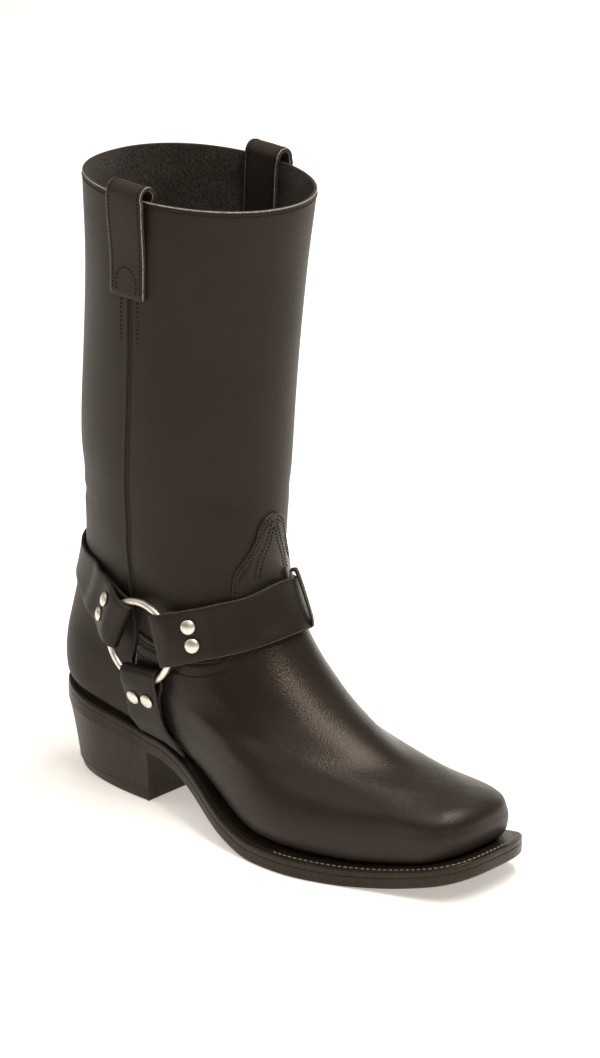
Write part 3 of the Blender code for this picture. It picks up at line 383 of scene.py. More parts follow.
def ring_frame(side):
    """Centre and axes of one harness ring, standing off the ankle."""
    angles = np.linspace(0, 2 * math.pi, RING_TRIES + 1)[1:]
    places = [locate(RING_X + r * math.cos(a), RING_Z + r * math.sin(a), side)
              for r in (RING_RADIUS, RING_FOOTPRINT) for a in angles]
    out = unit(sum(unit(sample(NORMAL, *p)) for p in places))
    middle = on_upper(*locate(RING_X, RING_Z, side))
    proud = max(0.0, max(np.dot(on_upper(*p) - middle, out) for p in places))
    up = unit(np.array([0.0, 0.0, 1.0]) - out[2] * out)
    forward = np.cross(up, out) * -side
    return Frame(side, middle + out * (proud + RING_LIFT), forward, up, out)


RINGS = {name: ring_frame(side) for name, side in SIDES.items()}


EDGE_SHARES = np.linspace(-1.2, 1.2, 1201)
EDGE_SOFTEN = 0.008         # rounds the corners of the vamp's edge, as a share
SOFTEN_STEPS = 20


def soft_edge():
    """Levels of the vamp's edge at EDGE_SHARES, with its corners rounded."""
    shares = [e.share for e in VAMP_EDGE]
    raw = np.interp(np.abs(EDGE_SHARES), shares, [e.level for e in VAMP_EDGE])
    reach = np.arange(-SOFTEN_STEPS, SOFTEN_STEPS + 1) * (EDGE_SHARES[1] - EDGE_SHARES[0])
    weight = np.exp(-0.5 * (reach / EDGE_SOFTEN) ** 2)
    padded = np.pad(raw, SOFTEN_STEPS, mode="edge")
    return np.convolve(padded, weight / weight.sum(), mode="valid")


EDGE_LEVELS = soft_edge()


def vamp_edge(share):
    return np.interp(share, EDGE_SHARES, EDGE_LEVELS)


def curve_through(places, steps):
    """Levels and turns of a curve through (level, turn) places, at shares of its length."""
    knots = np.array(places)
    share = run_share(*on_upper(knots[:, 0], knots[:, 1]).T)
    return smooth(share, knots[:, 0], steps), smooth(share, knots[:, 1], steps)


# Creases and dents of the leather, placed one by one. A dent is a soft oval hollow or swelling; a fold is
# a soft trough along a line of places. Depths and widths are in millimetres.

Dent = namedtuple("Dent", "level turn level_reach turn_reach depth")
DENTS = [
    Dent(13.3, -0.24, 0.75, 0.11, -1.1),
    Dent(12.5, -0.36, 0.55, 0.09, 0.9),
    Dent(12.0, -0.20, 0.45, 0.10, -0.7),
    Dent(13.9, -0.72, 0.70, 0.10, -1.0),
    Dent(12.4, -0.80, 0.60, 0.12, 0.8),
    Dent(13.4, 0.26, 0.80, 0.11, -1.1),
    Dent(12.3, 0.34, 0.50, 0.09, 0.9),
    Dent(13.0, 0.78, 0.70, 0.11, -1.0),
    Dent(14.3, 0.05, 0.45, 0.12, -0.8),
    Dent(11.5, -0.78, 0.35, 0.14, -0.8),
    Dent(11.5, 0.78, 0.35, 0.14, -0.8),
]
Fold = namedtuple("Fold", "places depth width")
FOLDS = [
    Fold([(11.05, -0.68), (10.90, -0.80), (10.92, -0.93), (10.98, -1.02)], -0.9, 4.0),
    Fold([(11.05, 0.66), (10.93, 0.80), (10.90, 0.92), (10.98, 1.02)], -0.9, 4.0),
    Fold([(11.55, -0.86), (11.42, -0.96), (11.40, -1.06)], -0.6, 5.0),
    Fold([(11.95, -0.30), (11.75, -0.20), (11.70, -0.08)], -0.6, 6.0),
    Fold([(11.95, 0.32), (11.78, 0.20), (11.72, 0.10)], -0.6, 6.0),
    Fold([(3.15, -0.07), (3.20, -0.14), (3.25, -0.21), (3.35, -0.28), (3.60, -0.37)], -1.8, 8.0),
    Fold([(3.15, 0.07), (3.20, 0.14), (3.25, 0.21), (3.35, 0.28), (3.60, 0.37)], -1.8, 8.0),
]
FOLD_POINTS, FOLD_FADE = 40, 0.6            # points along a fold, and how softly it ends
FOLD_LOOK = 4                               # widths within which a fold is felt
FEATHER_DEPTH, FEATHER_REACH = -1.3, 0.30   # how the leather is drawn in above the welt, in levels


def relief(level, turn):
    """Height in millimetres of creases and dents at places on the upper."""
    level, turn = np.broadcast_arrays(np.asarray(level, float), np.asarray(turn, float))
    rise = FEATHER_DEPTH * np.exp(-(level / FEATHER_REACH) ** 2)
    for dent in DENTS:
        aside = ((turn - dent.turn + 1) % 2 - 1) / dent.turn_reach
        above = (level - dent.level) / dent.level_reach
        rise += dent.depth * np.exp(-above ** 2 - aside ** 2)
    here = sample(FORM, level, turn)
    steps = np.linspace(0, 1, FOLD_POINTS)
    fade = np.sin(np.pi * steps) ** FOLD_FADE
    for fold in FOLDS:
        line = on_upper(*curve_through(fold.places, steps))
        reach = np.ptp(line, axis=0).max() + FOLD_LOOK * fold.width
        near = np.linalg.norm(here - line.mean(axis=0), axis=-1) < reach
        gaps = np.linalg.norm(here[near][:, None, :] - line[None], axis=-1)
        closest = gaps.argmin(axis=1)
        rise[near] += fold.depth * fade[closest] * np.exp(-(gaps.min(axis=1) / fold.width) ** 2)
    return rise


# Materials

WARM_SHINE = (1.0, 0.86, 0.74, 1)
DULL_HEIGHT = 100 * MM      # the height over which the vamp's matt foot fades


class Look:
    """A node material and the helpers that build it."""

    def __init__(self, name):
        self.material = bpy.data.materials.new(name)
        self.material.use_nodes = True
        self.tree = self.material.node_tree

    def fill(self, node, values):
        """Link sockets to a node's inputs, and set plain values directly."""
        for key, value in values.items():
            if isinstance(value, bpy.types.NodeSocket):
                self.tree.links.new(value, node.inputs[key])
            else:
                node.inputs[key].default_value = value

    def add(self, kind, output, values, **settings):
        """One output of a new node."""
        node = self.tree.nodes.new(kind)
        for key, value in settings.items():
            setattr(node, key, value)
        self.fill(node, values)
        return node.outputs[output]

    def place(self, scale=(1, 1, 1)):
        """Object coordinates, in metres, stretched by a scale."""
        spot = self.add("ShaderNodeTexCoord", "Object", {})
        return self.add("ShaderNodeMapping", "Vector", {"Vector": spot, "Scale": scale})

    def noise(self, where, scale, detail=3.0, roughness=0.55):
        values = {"Vector": where, "Scale": scale, "Detail": detail, "Roughness": roughness}
        return self.add("ShaderNodeTexNoise", "Fac", values)

    def maths(self, operation, a, b):
        return self.add("ShaderNodeMath", 0, {0: a, 1: b}, operation=operation)

    def blend(self, *terms):
        """Sum of values, each times its weight."""
        total = 0.0
        for value, weight in terms:
            total = self.maths("ADD", self.maths("MULTIPLY", value, weight), total)
        return total

    def ramp(self, value, *stops):
        """Colour ramp with (position, colour) stops; a number as colour gives a grey."""
        node = self.tree.nodes.new("ShaderNodeValToRGB")
        self.fill(node, {"Fac": value})
        elements = node.color_ramp.elements
        while len(elements) < len(stops):
            elements.new(0.5)
        for element, (position, colour) in zip(elements, stops):
            element.position = position
            element.color = (*colour, 1) if isinstance(colour, tuple) else (colour, colour, colour, 1)
        return node.outputs["Color"]

    def dress(self, values, height=None, depth=0.0):
        """Fill the shader's inputs, with a bump of this depth in millimetres, and give the material."""
        shader = self.tree.nodes["Principled BSDF"]
        self.fill(shader, values)
        if height is not None:
            raised_by = {"Height": height, "Distance": depth * MM, "Strength": 1.0}
            self.fill(shader, {"Normal": self.add("ShaderNodeBump", "Normal", raised_by)})
        return self.material


def leather_look(name, dark, light, rough, shine, grain, matt_foot=0.0):
    """Oiled smooth leather: fine pebbled grain with pores, broad tone changes and a warm soft shine.

    matt_foot dulls the leather towards the sole."""
    look = Look(name)
    where = look.place()
    broad = look.noise(where, 16, 4)
    pores = look.noise(where, 2400, 3, 0.65)
    cells = {"Vector": where, "Scale": 950.0, "Smoothness": 0.15}
    pebble = look.add("ShaderNodeTexVoronoi", "Distance", cells, feature="SMOOTH_F1")
    tone = look.blend((broad, 0.75), (look.noise(where, 600, 2), 0.25))
    height = look.blend((pebble, -0.8), (pores, 0.5), (look.noise(where, 420, 2), 0.15))
    gloss = look.ramp(look.blend((broad, 0.5), (pores, 0.5)), (0.3, rough - 0.08), (0.7, rough + 0.08))
    above = look.add("ShaderNodeSeparateXYZ", "Z", {"Vector": where})
    dull = look.ramp(look.maths("DIVIDE", above, DULL_HEIGHT), (0.25, matt_foot), (0.55, 0.0))
    return look.dress({"Base Color": look.ramp(tone, (0.35, dark), (0.65, light)),
                       "Roughness": look.maths("ADD", gloss, dull),
                       "Specular IOR Level": shine, "Specular Tint": WARM_SHINE}, height, grain)


def sole_look(name, dark, light, rough):
    """Dressed sole and heel edge: satin, with fine upright marks from trimming."""
    look = Look(name)
    where = look.place()
    marks = look.noise(look.place((1, 1, 0.05)), 900, 3, 0.65)
    cloud = look.noise(where, 45, 4)
    tone = look.blend((marks, 0.45), (cloud, 0.55))
    height = look.blend((marks, 0.6), (look.noise(where, 700, 3), 0.4))
    return look.dress({"Base Color": look.ramp(tone, (0.35, dark), (0.65, light)),
                       "Roughness": look.ramp(cloud, (0.3, rough - 0.06), (0.7, rough + 0.1)),
                       "Specular IOR Level": 0.26, "Specular Tint": WARM_SHINE}, height, 0.30)


def suede_look(name):
    """Rough flesh side of the leather inside the shaft, speckled and matt."""
    look = Look(name)
    where = look.place()
    nap = look.noise(where, 950, 4, 0.75)
    tone = look.blend((nap, 0.75), (look.noise(where, 26, 3), 0.25))
    colour = look.ramp(tone, (0.38, (0.009, 0.0075, 0.006)), (0.50, (0.028, 0.0225, 0.017)),
                       (0.66, (0.105, 0.086, 0.065)))
    return look.dress({"Base Color": colour, "Roughness": 0.95, "Specular IOR Level": 0.15,
                       "Sheen Weight": 0.15, "Sheen Roughness": 0.5}, nap, 0.9)


def nickel_look(name):
    """Satin nickel, a little warm, with faint rubbing marks."""
    look = Look(name)
    where = look.place()
    cloud = look.noise(where, 220, 4)
    return look.dress({"Base Color": look.ramp(cloud, (0.3, (0.70, 0.66, 0.58)), (0.7, (0.86, 0.82, 0.74))),
                       "Roughness": look.ramp(cloud, (0.3, 0.34), (0.7, 0.46)),
                       "Metallic": 1.0}, look.noise(where, 900, 2), 0.03)


# One noise makes the speckle of plain stuffs: its scale, detail and roughness, the spread of its tones,
# the depth of its bump, and the gloss
Speckle = namedtuple("Speckle", "scale detail roughness low high depth rough specular")
FIBRES = Speckle(900, 4, 0.7, 0.38, 0.62, 0.25, 0.85, 0.5)
RUBBER = Speckle(1100, 3, 0.6, 0.35, 0.65, 0.2, 0.6, 0.5)
PLY = Speckle(2600, 2, 0.55, 0.35, 0.65, 0.1, 0.75, 0.15)


def speckled_look(name, kind, dark, light):
    """Cut edges of leather, rubber or thread."""
    look = Look(name)
    speck = look.noise(look.place(), kind.scale, kind.detail, kind.roughness)
    return look.dress({"Base Color": look.ramp(speck, (kind.low, dark), (kind.high, light)),
                       "Roughness": kind.rough, "Specular IOR Level": kind.specular}, speck, kind.depth)


# Leathers: dark and light tone, roughness, shine and depth of grain
leather = leather_look(
    "boot_leather", (0.0130, 0.0092, 0.0077), (0.0200, 0.0148, 0.0121), 0.46, 0.22, 0.13)
vamp_leather = leather_look(
    "vamp_leather", (0.0150, 0.0111, 0.0097), (0.0228, 0.0175, 0.0150), 0.25, 0.25, 0.125, matt_foot=0.22)
strap_leather = leather_look(
    "harness_leather", (0.0115, 0.0086, 0.0074), (0.0180, 0.0139, 0.0118), 0.42, 0.24, 0.13)
# Painted light: the pull straps are the boot leather with a lighter base colour, which stands in for the
# light their legs don't get inside the shaft
pull_leather_painted_lighter = leather_look(
    "pull_strap_leather_painted_lighter", (0.0230, 0.0172, 0.0140), (0.0350, 0.0266, 0.0216), 0.46, 0.16, 0.13)
dark_edge = speckled_look("strap_cut_edge", FIBRES, (0.010, 0.008, 0.007), (0.034, 0.028, 0.022))
# Painted highlight: a lighter colour along the straps' rounded corners, standing in for the light their edges
# catch
painted_corner_highlight = speckled_look("strap_corner_painted_highlight", FIBRES, (0.030, 0.025, 0.019), (0.085, 0.072, 0.056))
pale_edge = speckled_look("raw_cut_edge", FIBRES, (0.15, 0.125, 0.095), (0.42, 0.37, 0.30))
suede = suede_look("flesh_side_suede")
sole_edge = sole_look("sole_edge_dressing", (0.0105, 0.0076, 0.0057), (0.0265, 0.0196, 0.0141), 0.30)
# Painted light: the heel's dressing is the sole's, made lighter to stand in for the light that falls on the
# heel's side
heel_edge_painted_lighter = sole_look("heel_edge_dressing_painted_lighter", (0.0180, 0.0129, 0.0094), (0.0440, 0.0328, 0.0234), 0.40)
tread = speckled_look("tread_rubber", RUBBER, (0.016, 0.015, 0.013), (0.030, 0.028, 0.024))
nickel = nickel_look("satin_nickel")
dark_thread = speckled_look("dark_thread", PLY, (0.0078, 0.00624, 0.00516), (0.0130, 0.0104, 0.0086))
welt_thread = speckled_look("welt_thread", PLY, (0.18, 0.162, 0.132), (0.30, 0.27, 0.22))
insole_leather = speckled_look("insole_board", FIBRES, (0.055, 0.042, 0.030), (0.115, 0.090, 0.064))


# Turning grids of points into pieces

ring_low, ring_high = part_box("ring_lateral")
SHIFT = np.array((ring_low + ring_high) / 2) / MM - RINGS["lateral"].centre


def place(points):
    """Boot millimetres to frame metres."""
    return (np.asarray(points, float) + SHIFT) * MM


def grid_quads(rows, columns, wrap_rows=False):
    """Corner numbers of the faces of a grid whose columns close up, row by row."""
    i, j = np.meshgrid(np.arange(rows if wrap_rows else rows - 1), np.arange(columns), indexing="ij")
    i2 = (i + 1) % rows
    j2 = (j + 1) % columns
    corners = [i * columns + j, i * columns + j2, i2 * columns + j2, i2 * columns + j]
    return np.stack(corners, axis=-1).reshape(-1, 4)


def signed_volume(points, faces):
    total = 0.0
    for corners in faces:
        corners = np.asarray(corners)
        a = points[corners[:, 0]]
        for k in range(1, corners.shape[1] - 1):
            total += np.sum(a * np.cross(points[corners[:, k]], points[corners[:, k + 1]]))
    return total


def add_piece(name, points, faces, materials, numbers=None, slot=None, replaces=(), body="boot", sharp=None):
    """A closed mesh piece from points in boot millimetres and arrays of faces, riding on a body."""
    points = np.asarray(points, float).reshape(-1, 3)
    if signed_volume(points - points.mean(axis=0), faces) < 0:
        faces = [f[:, ::-1] for f in faces]
    mesh = bpy.data.meshes.new(name)
    mesh.from_pydata(place(points).tolist(), [], [c for f in faces for c in f.tolist()])
    for each in materials:
        mesh.materials.append(each)
    if numbers is not None:
        mesh.polygons.foreach_set("material_index", np.concatenate(numbers).astype(np.int32))
    mesh.shade_smooth()
    if sharp:
        mesh.set_sharp_from_angle(angle=math.radians(sharp))
    mesh.update()
    piece = bpy.data.objects.new(name, mesh)
    bpy.context.scene.collection.objects.link(piece)
    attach(piece, body)
    if replaces:
        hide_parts(*replaces)
    return piece


def fan(ring, tip):
    """Triangles from a ring of point numbers to one tip."""
    ring = np.asarray(ring)
    return np.column_stack([ring, np.roll(ring, -1), np.full(len(ring), tip)])


def add_tube(name, loops, materials, number=None, tips=None, **facts):
    """A piece from a stack of rings with a fan at each end; where numbers are given, fans have number 1."""
    loops = np.asarray(loops, float)
    rows, columns = loops.shape[:2]
    if tips is None:
        tips = [loops[0].mean(axis=0), loops[-1].mean(axis=0)]
    points = np.concatenate([loops.reshape(-1, 3), tips])
    first = np.arange(columns)
    last = first + (rows - 1) * columns
    faces = [grid_quads(rows, columns), fan(first[::-1], rows * columns), fan(last, rows * columns + 1)]
    numbers = None if number is None else [number.reshape(-1), np.ones(2 * columns, int)]
    return add_piece(name, points, faces, materials, numbers, **facts)


EDGE_ARC = np.radians([55, 20, -20, -55])
EDGE_BULGE = 0.32           # of a strap's rounded edge, as a share of its thickness
END_SHARE = 0.5             # thickness left at a strap's rounded end


def strip_axes(middle):
    """Directions along and across a grid of points, and its normals."""
    along = unit(np.gradient(middle, axis=0))
    across = unit(np.gradient(middle, axis=1))
    return along, across, unit(np.cross(along, across))


def ribbon_loops(middle, thickness):
    """Sections of a strip of leather with rounded edges and ends, about a grid of points."""
    along, across, normal = strip_axes(middle)
    half = thickness / 2
    bulge = thickness * EDGE_BULGE

    def edge(k, way, angles):
        return [middle[:, k] + across[:, k] * way * bulge * math.cos(a) + normal[:, k] * half * math.sin(a)
                for a in angles]

    order = np.arange(middle.shape[1])
    face = [middle[:, j] + normal[:, j] * half for j in order]
    back = [middle[:, j] - normal[:, j] * half for j in order[::-1]]
    loops = np.stack(face + edge(-1, 1, EDGE_ARC) + back + edge(0, -1, EDGE_ARC[::-1]), axis=1)
    flat = middle[:, np.concatenate([order, [-1] * len(EDGE_ARC), order[::-1], [0] * len(EDGE_ARC)])]
    ends = []
    for k, way in ((0, -1), (-1, 1)):
        step = along[k].mean(axis=0) * way * bulge
        ends.append(flat[k] + (loops[k] - flat[k]) * END_SHARE + step)
    return np.concatenate([ends[:1], loops, ends[1:]])


def add_ribbon(name, middle, thickness, materials, **facts):
    """A strip of leather about a grid of points; materials of its faces, its cut edges and their corners."""
    middle = np.asarray(middle, float)
    loops = ribbon_loops(middle, thickness)
    rows, columns = loops.shape[:2]
    width = middle.shape[1]
    arc = len(EDGE_ARC)
    number = np.zeros((rows - 1, columns), int)
    number[:, width - 1:width + arc] = 1
    number[:, -arc - 1:] = 1
    number[:, [width - 1, width + arc - 1, -arc - 1, -1]] = 2
    number[[0, -1]] = 1
    return add_tube(name, loops, materials, number, **facts)


# Stitches

Row = namedtuple("Row", "points normals")
Thread = namedtuple("Thread", "pitch length radius")
STITCH_SIDES = 6
STITCH_FLAT = 0.8           # height of its section over its width
# Sections of one stitch: how far ahead, as a share of its length, and lift and width in thread radii
STITCH_SHAPE = [(-0.50, -0.5, 0.45), (-0.34, 0.25, 1.0), (0.0, 0.45, 1.05), (0.34, 0.25, 1.0),
                (0.50, -0.5, 0.45)]
ON_LEATHER = 0.02           # stitch rows lie this far above the leather
BESIDE_STEP = (0.02, 0.002)  # of level and turn, to measure slopes by


def surface_row(levels, turns, height):
    """A line on the leather, with its normals."""
    points = on_upper(levels, turns, height + relief(levels, turns))
    return Row(points, unit(sample(NORMAL, levels, turns)))


def stitches(row, thread):
    """Points and faces of one row of stitches: short rounded lengths of thread that dip into the leather."""
    steps = np.linalg.norm(np.diff(row.points, axis=0), axis=1)
    run = np.concatenate([[0], np.cumsum(steps)])
    count = max(1, int(run[-1] / thread.pitch))
    start = (run[-1] - count * thread.pitch) / 2
    angles = np.arange(STITCH_SIDES) * 2 * math.pi / STITCH_SIDES
    middle = start + thread.pitch * (np.arange(count) + 0.5)

    def along_row(at, values):
        return np.column_stack([np.interp(at, run, values[:, k]) for k in range(3)])

    ends = [along_row(middle + way * thread.length / 2, row.points) for way in (-1, 1)]
    tangent = unit(ends[1] - ends[0])
    normal = unit(along_row(middle, row.normals))
    side = unit(np.cross(tangent, normal))
    rings = []
    for ahead, lift, wide in STITCH_SHAPE:
        centre = along_row(middle + ahead * thread.length, row.points) + normal * (lift * thread.radius)
        ring = [centre + (side * math.cos(a) + normal * math.sin(a) * STITCH_FLAT) * thread.radius * wide
                for a in angles]
        rings.append(np.stack(ring, axis=1))
    body = np.stack(rings, axis=1)
    per = len(STITCH_SHAPE) * STITCH_SIDES
    quads = grid_quads(len(STITCH_SHAPE), STITCH_SIDES)
    first = np.arange(STITCH_SIDES)
    caps = np.array([first[::-1], first + per - STITCH_SIDES])
    offset = np.arange(count)[:, None, None] * per
    return body.reshape(-1, 3), (quads + offset).reshape(-1, 4), (caps + offset).reshape(-1, STITCH_SIDES)


def add_stitches(name, rows, thread, material, slot):
    """All rows of one seam as one piece."""
    points, quads, caps = [], [], []
    total = 0
    for row in rows:
        p, q, c = stitches(row, thread)
        points.append(p)
        quads.append(q + total)
        caps.append(c + total)
        total += len(p)
    faces = [np.concatenate(quads), np.concatenate(caps)]
    return add_piece(name, np.concatenate(points), faces, [material], slot=slot)


def beside(levels, turns, distance):
    """Places beside a line on the upper: to the left of its direction of travel, seen from outside."""
    points = on_upper(levels, turns)
    along = unit(np.gradient(points, axis=0))
    normal = unit(sample(NORMAL, levels, turns))
    aside = np.cross(normal, along) * distance
    d_level, d_turn = BESIDE_STEP
    to_level = (on_upper(levels + d_level, turns) - on_upper(levels - d_level, turns)) / (2 * d_level)
    to_turn = (on_upper(levels, turns + d_turn) - on_upper(levels, turns - d_turn)) / (2 * d_turn)
    basis = np.stack([to_level, to_turn], axis=-1)
    moves = np.einsum("nij,nj->ni", np.linalg.pinv(basis), aside)
    return levels + moves[:, 0], turns + moves[:, 1]


# Upper

# Columns from the front centre to the seam and from there to the back centre, closer by the seam
FRONT_COLUMNS = np.concatenate([np.linspace(0, 0.955, 76),
                                [0.965, 0.973, 0.979, 0.984, 0.988, 0.992, 0.996, 1.0]])
BACK_COLUMNS = np.concatenate([[0.005, 0.010, 0.016, 0.024, 0.034, 0.046, 0.06, 0.08],
                               np.linspace(0.105, 1, 46)])
UPPER_ROWS = 170
INSIDE_ROWS = 50
FOOT_SINK = 0.5             # the upper's lower edge reaches this far below the welt's inner top
GROOVE_AT, GROOVE_WIDTH, GROOVE_DEPTH = -0.6, 0.8, 0.5      # beside the side seam
GROOVE_RISES = (8.4, 8.9)   # levels where the groove begins, above the vamp
GROOVE_ENDS = (TOP - 0.3, TOP)
RIM_ARC = np.radians([25, 55, 90, 125, 155])
RIM_ROUND = 0.30            # height of the rounded rim, as a share of the wall


def column_turns(level):
    """Turns of the upper's columns at one level, once round from the front centre."""
    seam = float(seam_turn(level))
    half = np.concatenate([seam * FRONT_COLUMNS, seam + (1 - seam) * BACK_COLUMNS])
    return np.concatenate([-half, half[-2:0:-1]])


def seam_groove(level, turn):
    """Depth of the groove just in front of the side seam."""
    seam = seam_turn(level)
    step = 0.01
    scale = np.linalg.norm(on_upper(level, seam + step) - on_upper(level, seam), axis=-1) / step
    ahead = (np.abs(turn) - seam) * scale
    fade = ease(*GROOVE_RISES, level) * (1 - ease(*GROOVE_ENDS, level))
    return -GROOVE_DEPTH * np.exp(-((ahead - GROOVE_AT) / GROOVE_WIDTH) ** 2) * fade


def upper_grid(levels):
    """Levels and turns of the upper's points at these levels."""
    turns = np.array([column_turns(v) for v in levels])
    return np.repeat(levels[:, None], turns.shape[1], axis=1), turns


def make_upper():
    levels, turns = upper_grid(np.linspace(0, TOP, UPPER_ROWS))
    outer = on_upper(levels, turns, relief(levels, turns) + seam_groove(levels, turns))
    outer[0, :, 2] = welt_bottom(outer[0, :, 0]) + WELT_INNER - FOOT_SINK
    levels, turns = upper_grid(np.linspace(TOP, 0, INSIDE_ROWS))
    inner = on_upper(levels, turns, relief(levels, turns) - WALL)
    rise = unit(outer[-1] - outer[-2]) * WALL * RIM_ROUND
    half = (outer[-1] - inner[0]) / 2
    centre = (outer[-1] + inner[0]) / 2
    rim = np.array([centre + half * math.cos(a) + rise * math.sin(a) for a in RIM_ARC])
    loops = np.concatenate([outer, rim, inner])
    rows, columns = loops.shape[:2]
    number = np.zeros((rows, columns), int)
    number[UPPER_ROWS - 1:UPPER_ROWS + 1] = 1
    number[UPPER_ROWS + 1:UPPER_ROWS + len(rim)] = 3
    number[UPPER_ROWS + len(rim):] = 2
    return add_piece("upper_leather", loops, [grid_quads(rows, columns, wrap_rows=True)],
                     [leather, pale_edge, suede, dark_edge], [number.reshape(-1)], slot="leather",
                     replaces=["upper"])


# Vamp

VAMP_COLUMNS = 241
VAMP_ROWS = 110
VAMP_ROUND = 1.2            # rounding of its sewn edge
VAMP_MEET = 0.12            # its edge comes down to this above the upper
VAMP_UNDER = 0.05           # its hidden face, above the upper
EDGE_BAND = 0.45            # levels below its edge that have closer rows
EDGE_BAND_ROWS = np.concatenate([[0.0, 0.010, 0.022], np.arange(0.04, 0.42, 0.022)])
STITCH_SINK, STITCH_REACH = 0.36, 0.9   # depth and half-width of the dip along its stitch rows
# Rows along the vamp's edge: distance inside it by the tongue and down the side, and the shares they
# run over
EdgeRow = namedtuple("EdgeRow", "tongue side share_from share_to")
EDGE_ROWS = [EdgeRow(2.0, 3.3, 0.03, 0.985), EdgeRow(4.2, 5.3, 0.03, 0.985),
             EdgeRow(12.5, 12.5, 0.47, 0.985)]
SUNK_ROWS = EDGE_ROWS[:2]
TONGUE_ENDS = (0.29, 0.40)  # shares between which the tongue passes into the side


def row_distance(row, shares):
    """Distance of a stitch row inside the vamp's edge, along that edge."""
    return row.tongue + (row.side - row.tongue) * ease(*TONGUE_ENDS, np.abs(shares))


def make_vamp():
    shares = np.linspace(-1, 1, VAMP_COLUMNS)
    edge = vamp_edge(shares)[None, :]
    step = np.linspace(0, 1, VAMP_ROWS)[:, None]
    levels = np.concatenate([VAMP_FOOT + (edge - EDGE_BAND - VAMP_FOOT) * step,
                             edge - EDGE_BAND_ROWS[::-1, None]])
    seam = seam_turn(levels)
    turns = shares[None, :] * seam
    points = on_upper(levels, turns)
    top = points[-1]
    tilt = np.linalg.norm(np.cross(unit(np.gradient(top, axis=0)), unit(top - points[-2])), axis=-1)
    below = np.linalg.norm(top - points, axis=-1) * tilt
    half_width = np.linalg.norm(on_upper(levels, seam) - on_upper(levels, 0 * levels), axis=-1)
    inside = np.minimum(below, (1 - np.abs(shares)) * half_width)
    rounding = np.sqrt(np.clip(1 - (1 - np.clip(inside / VAMP_ROUND, 0, 1)) ** 2, 0, 1))
    rise = relief(levels, turns)
    for row in SUNK_ROWS:
        rise -= STITCH_SINK * np.exp(-((below - row_distance(row, shares)) / STITCH_REACH) ** 2)
    over = on_upper(levels, turns, VAMP_MEET + (VAMP_TO - VAMP_MEET) * rounding + rise)
    under = on_upper(levels, turns, VAMP_UNDER + rise)
    loops = np.concatenate([over, under[:, ::-1]], axis=1)
    rows, columns = loops.shape[:2]
    ends = []
    for row in (0, rows - 1):
        a = row * columns + np.arange(VAMP_COLUMNS - 1)
        b = (row + 1) * columns - 1 - np.arange(VAMP_COLUMNS - 1)
        ends.append(np.column_stack([a, b, b - 1, a + 1]))
    faces = [grid_quads(rows, columns), ends[0], ends[1][:, ::-1]]
    return add_piece("vamp_panel", loops, faces, [vamp_leather], slot="leather", replaces=["vamp"])


# Side seams

# Levels that the piping runs on, under the pull strap and the bottom strap
SEAM_TUCK, SEAM_TUCK_FOOT = 0.06, 0.4
SEAM_ROWS, SEAM_COLUMNS = 190, 9
PIPING_FROM, PIPING_REACH = 0.004, 0.020    # turns behind the seam line: its start, and a step to measure by
PIPING_EDGE, PIPING_UNDER = 0.15, 0.05      # heights of its edges and its hidden face


def make_side_seam(name, side):
    """Rounded piping down the side of the shaft."""
    levels = np.linspace(PULL_FROM_LEVEL + SEAM_TUCK, SEAM_FOOT - SEAM_TUCK_FOOT, SEAM_ROWS)
    seam = seam_turn(levels)
    start = seam + PIPING_FROM
    step = on_upper(levels, side * (start + PIPING_REACH)) - on_upper(levels, side * start)
    width = SEAM_WIDTH / np.linalg.norm(step, axis=1) * PIPING_REACH
    over, under = [], []
    for f in np.linspace(0, 1, SEAM_COLUMNS):
        turns = side * (start + width * f)
        height = PIPING_EDGE + (SEAM_TO - PIPING_EDGE) * math.sqrt(max(0.0, 1 - (2 * f - 1) ** 2))
        over.append(on_upper(levels, turns, height + relief(levels, turns)))
        under.append(on_upper(levels, turns, PIPING_UNDER + relief(levels, side * seam)))
    loops = np.stack(over + under[::-1], axis=1)
    return add_tube(f"side_seam_piping_{name}", loops, [leather], slot="leather",
                    replaces=[f"side_seam_{name}"])


# Harness

def by_ring(at, angle, reach, aside, height=0.0):
    """Point at a reach from the ring centre along an angle, to one side of it, above the ring's plane."""
    a = math.radians(angle)
    ray = math.cos(a) * at.forward + math.sin(a) * at.up
    cross = -math.sin(a) * at.forward + math.cos(a) * at.up
    return at.centre + reach * ray + aside * cross + height * at.out


def leg_point(at, strap, reach, aside, ring_height, boot_height, pinch):
    """Middle of a strap leg: flat by the ring, coming down over the pinch to lie on the boot."""
    flat = by_ring(at, strap.angle, reach, aside, ring_height)
    level, turn = locate(flat[0], flat[2], at.side)
    lying = on_upper(level, turn, boot_height)
    share = ease(*pinch, reach)
    return flat * (1 - share) + lying * share


def outer_leg(at, strap, reach, aside):
    """Middle of the outer leg, which leaves the wire along its arc."""
    over_wire = math.sqrt(RING_RADIUS**2 - min(abs(aside), strap.half_width) ** 2)
    return leg_point(at, strap, reach, aside, FOLD, outer_height(strap, reach), (over_wire, OUTER_PINCH_TO))


def outer_height(strap, reach):
    """Height of the outer leg's middle, coming down past the end of the folded-back leg."""
    single = strap.base + STRAP / 2
    return single + (STRAP + LAYER_GAP) * (1 - ease(TURN_BACK_END, SETTLE_TO, reach))


def ridge_lift(turn):
    """How much higher the instep strap lies near the front centre."""
    return RIDGE_LIFT * (1 - ease(0.0, RIDGE_TURN, abs(turn)))


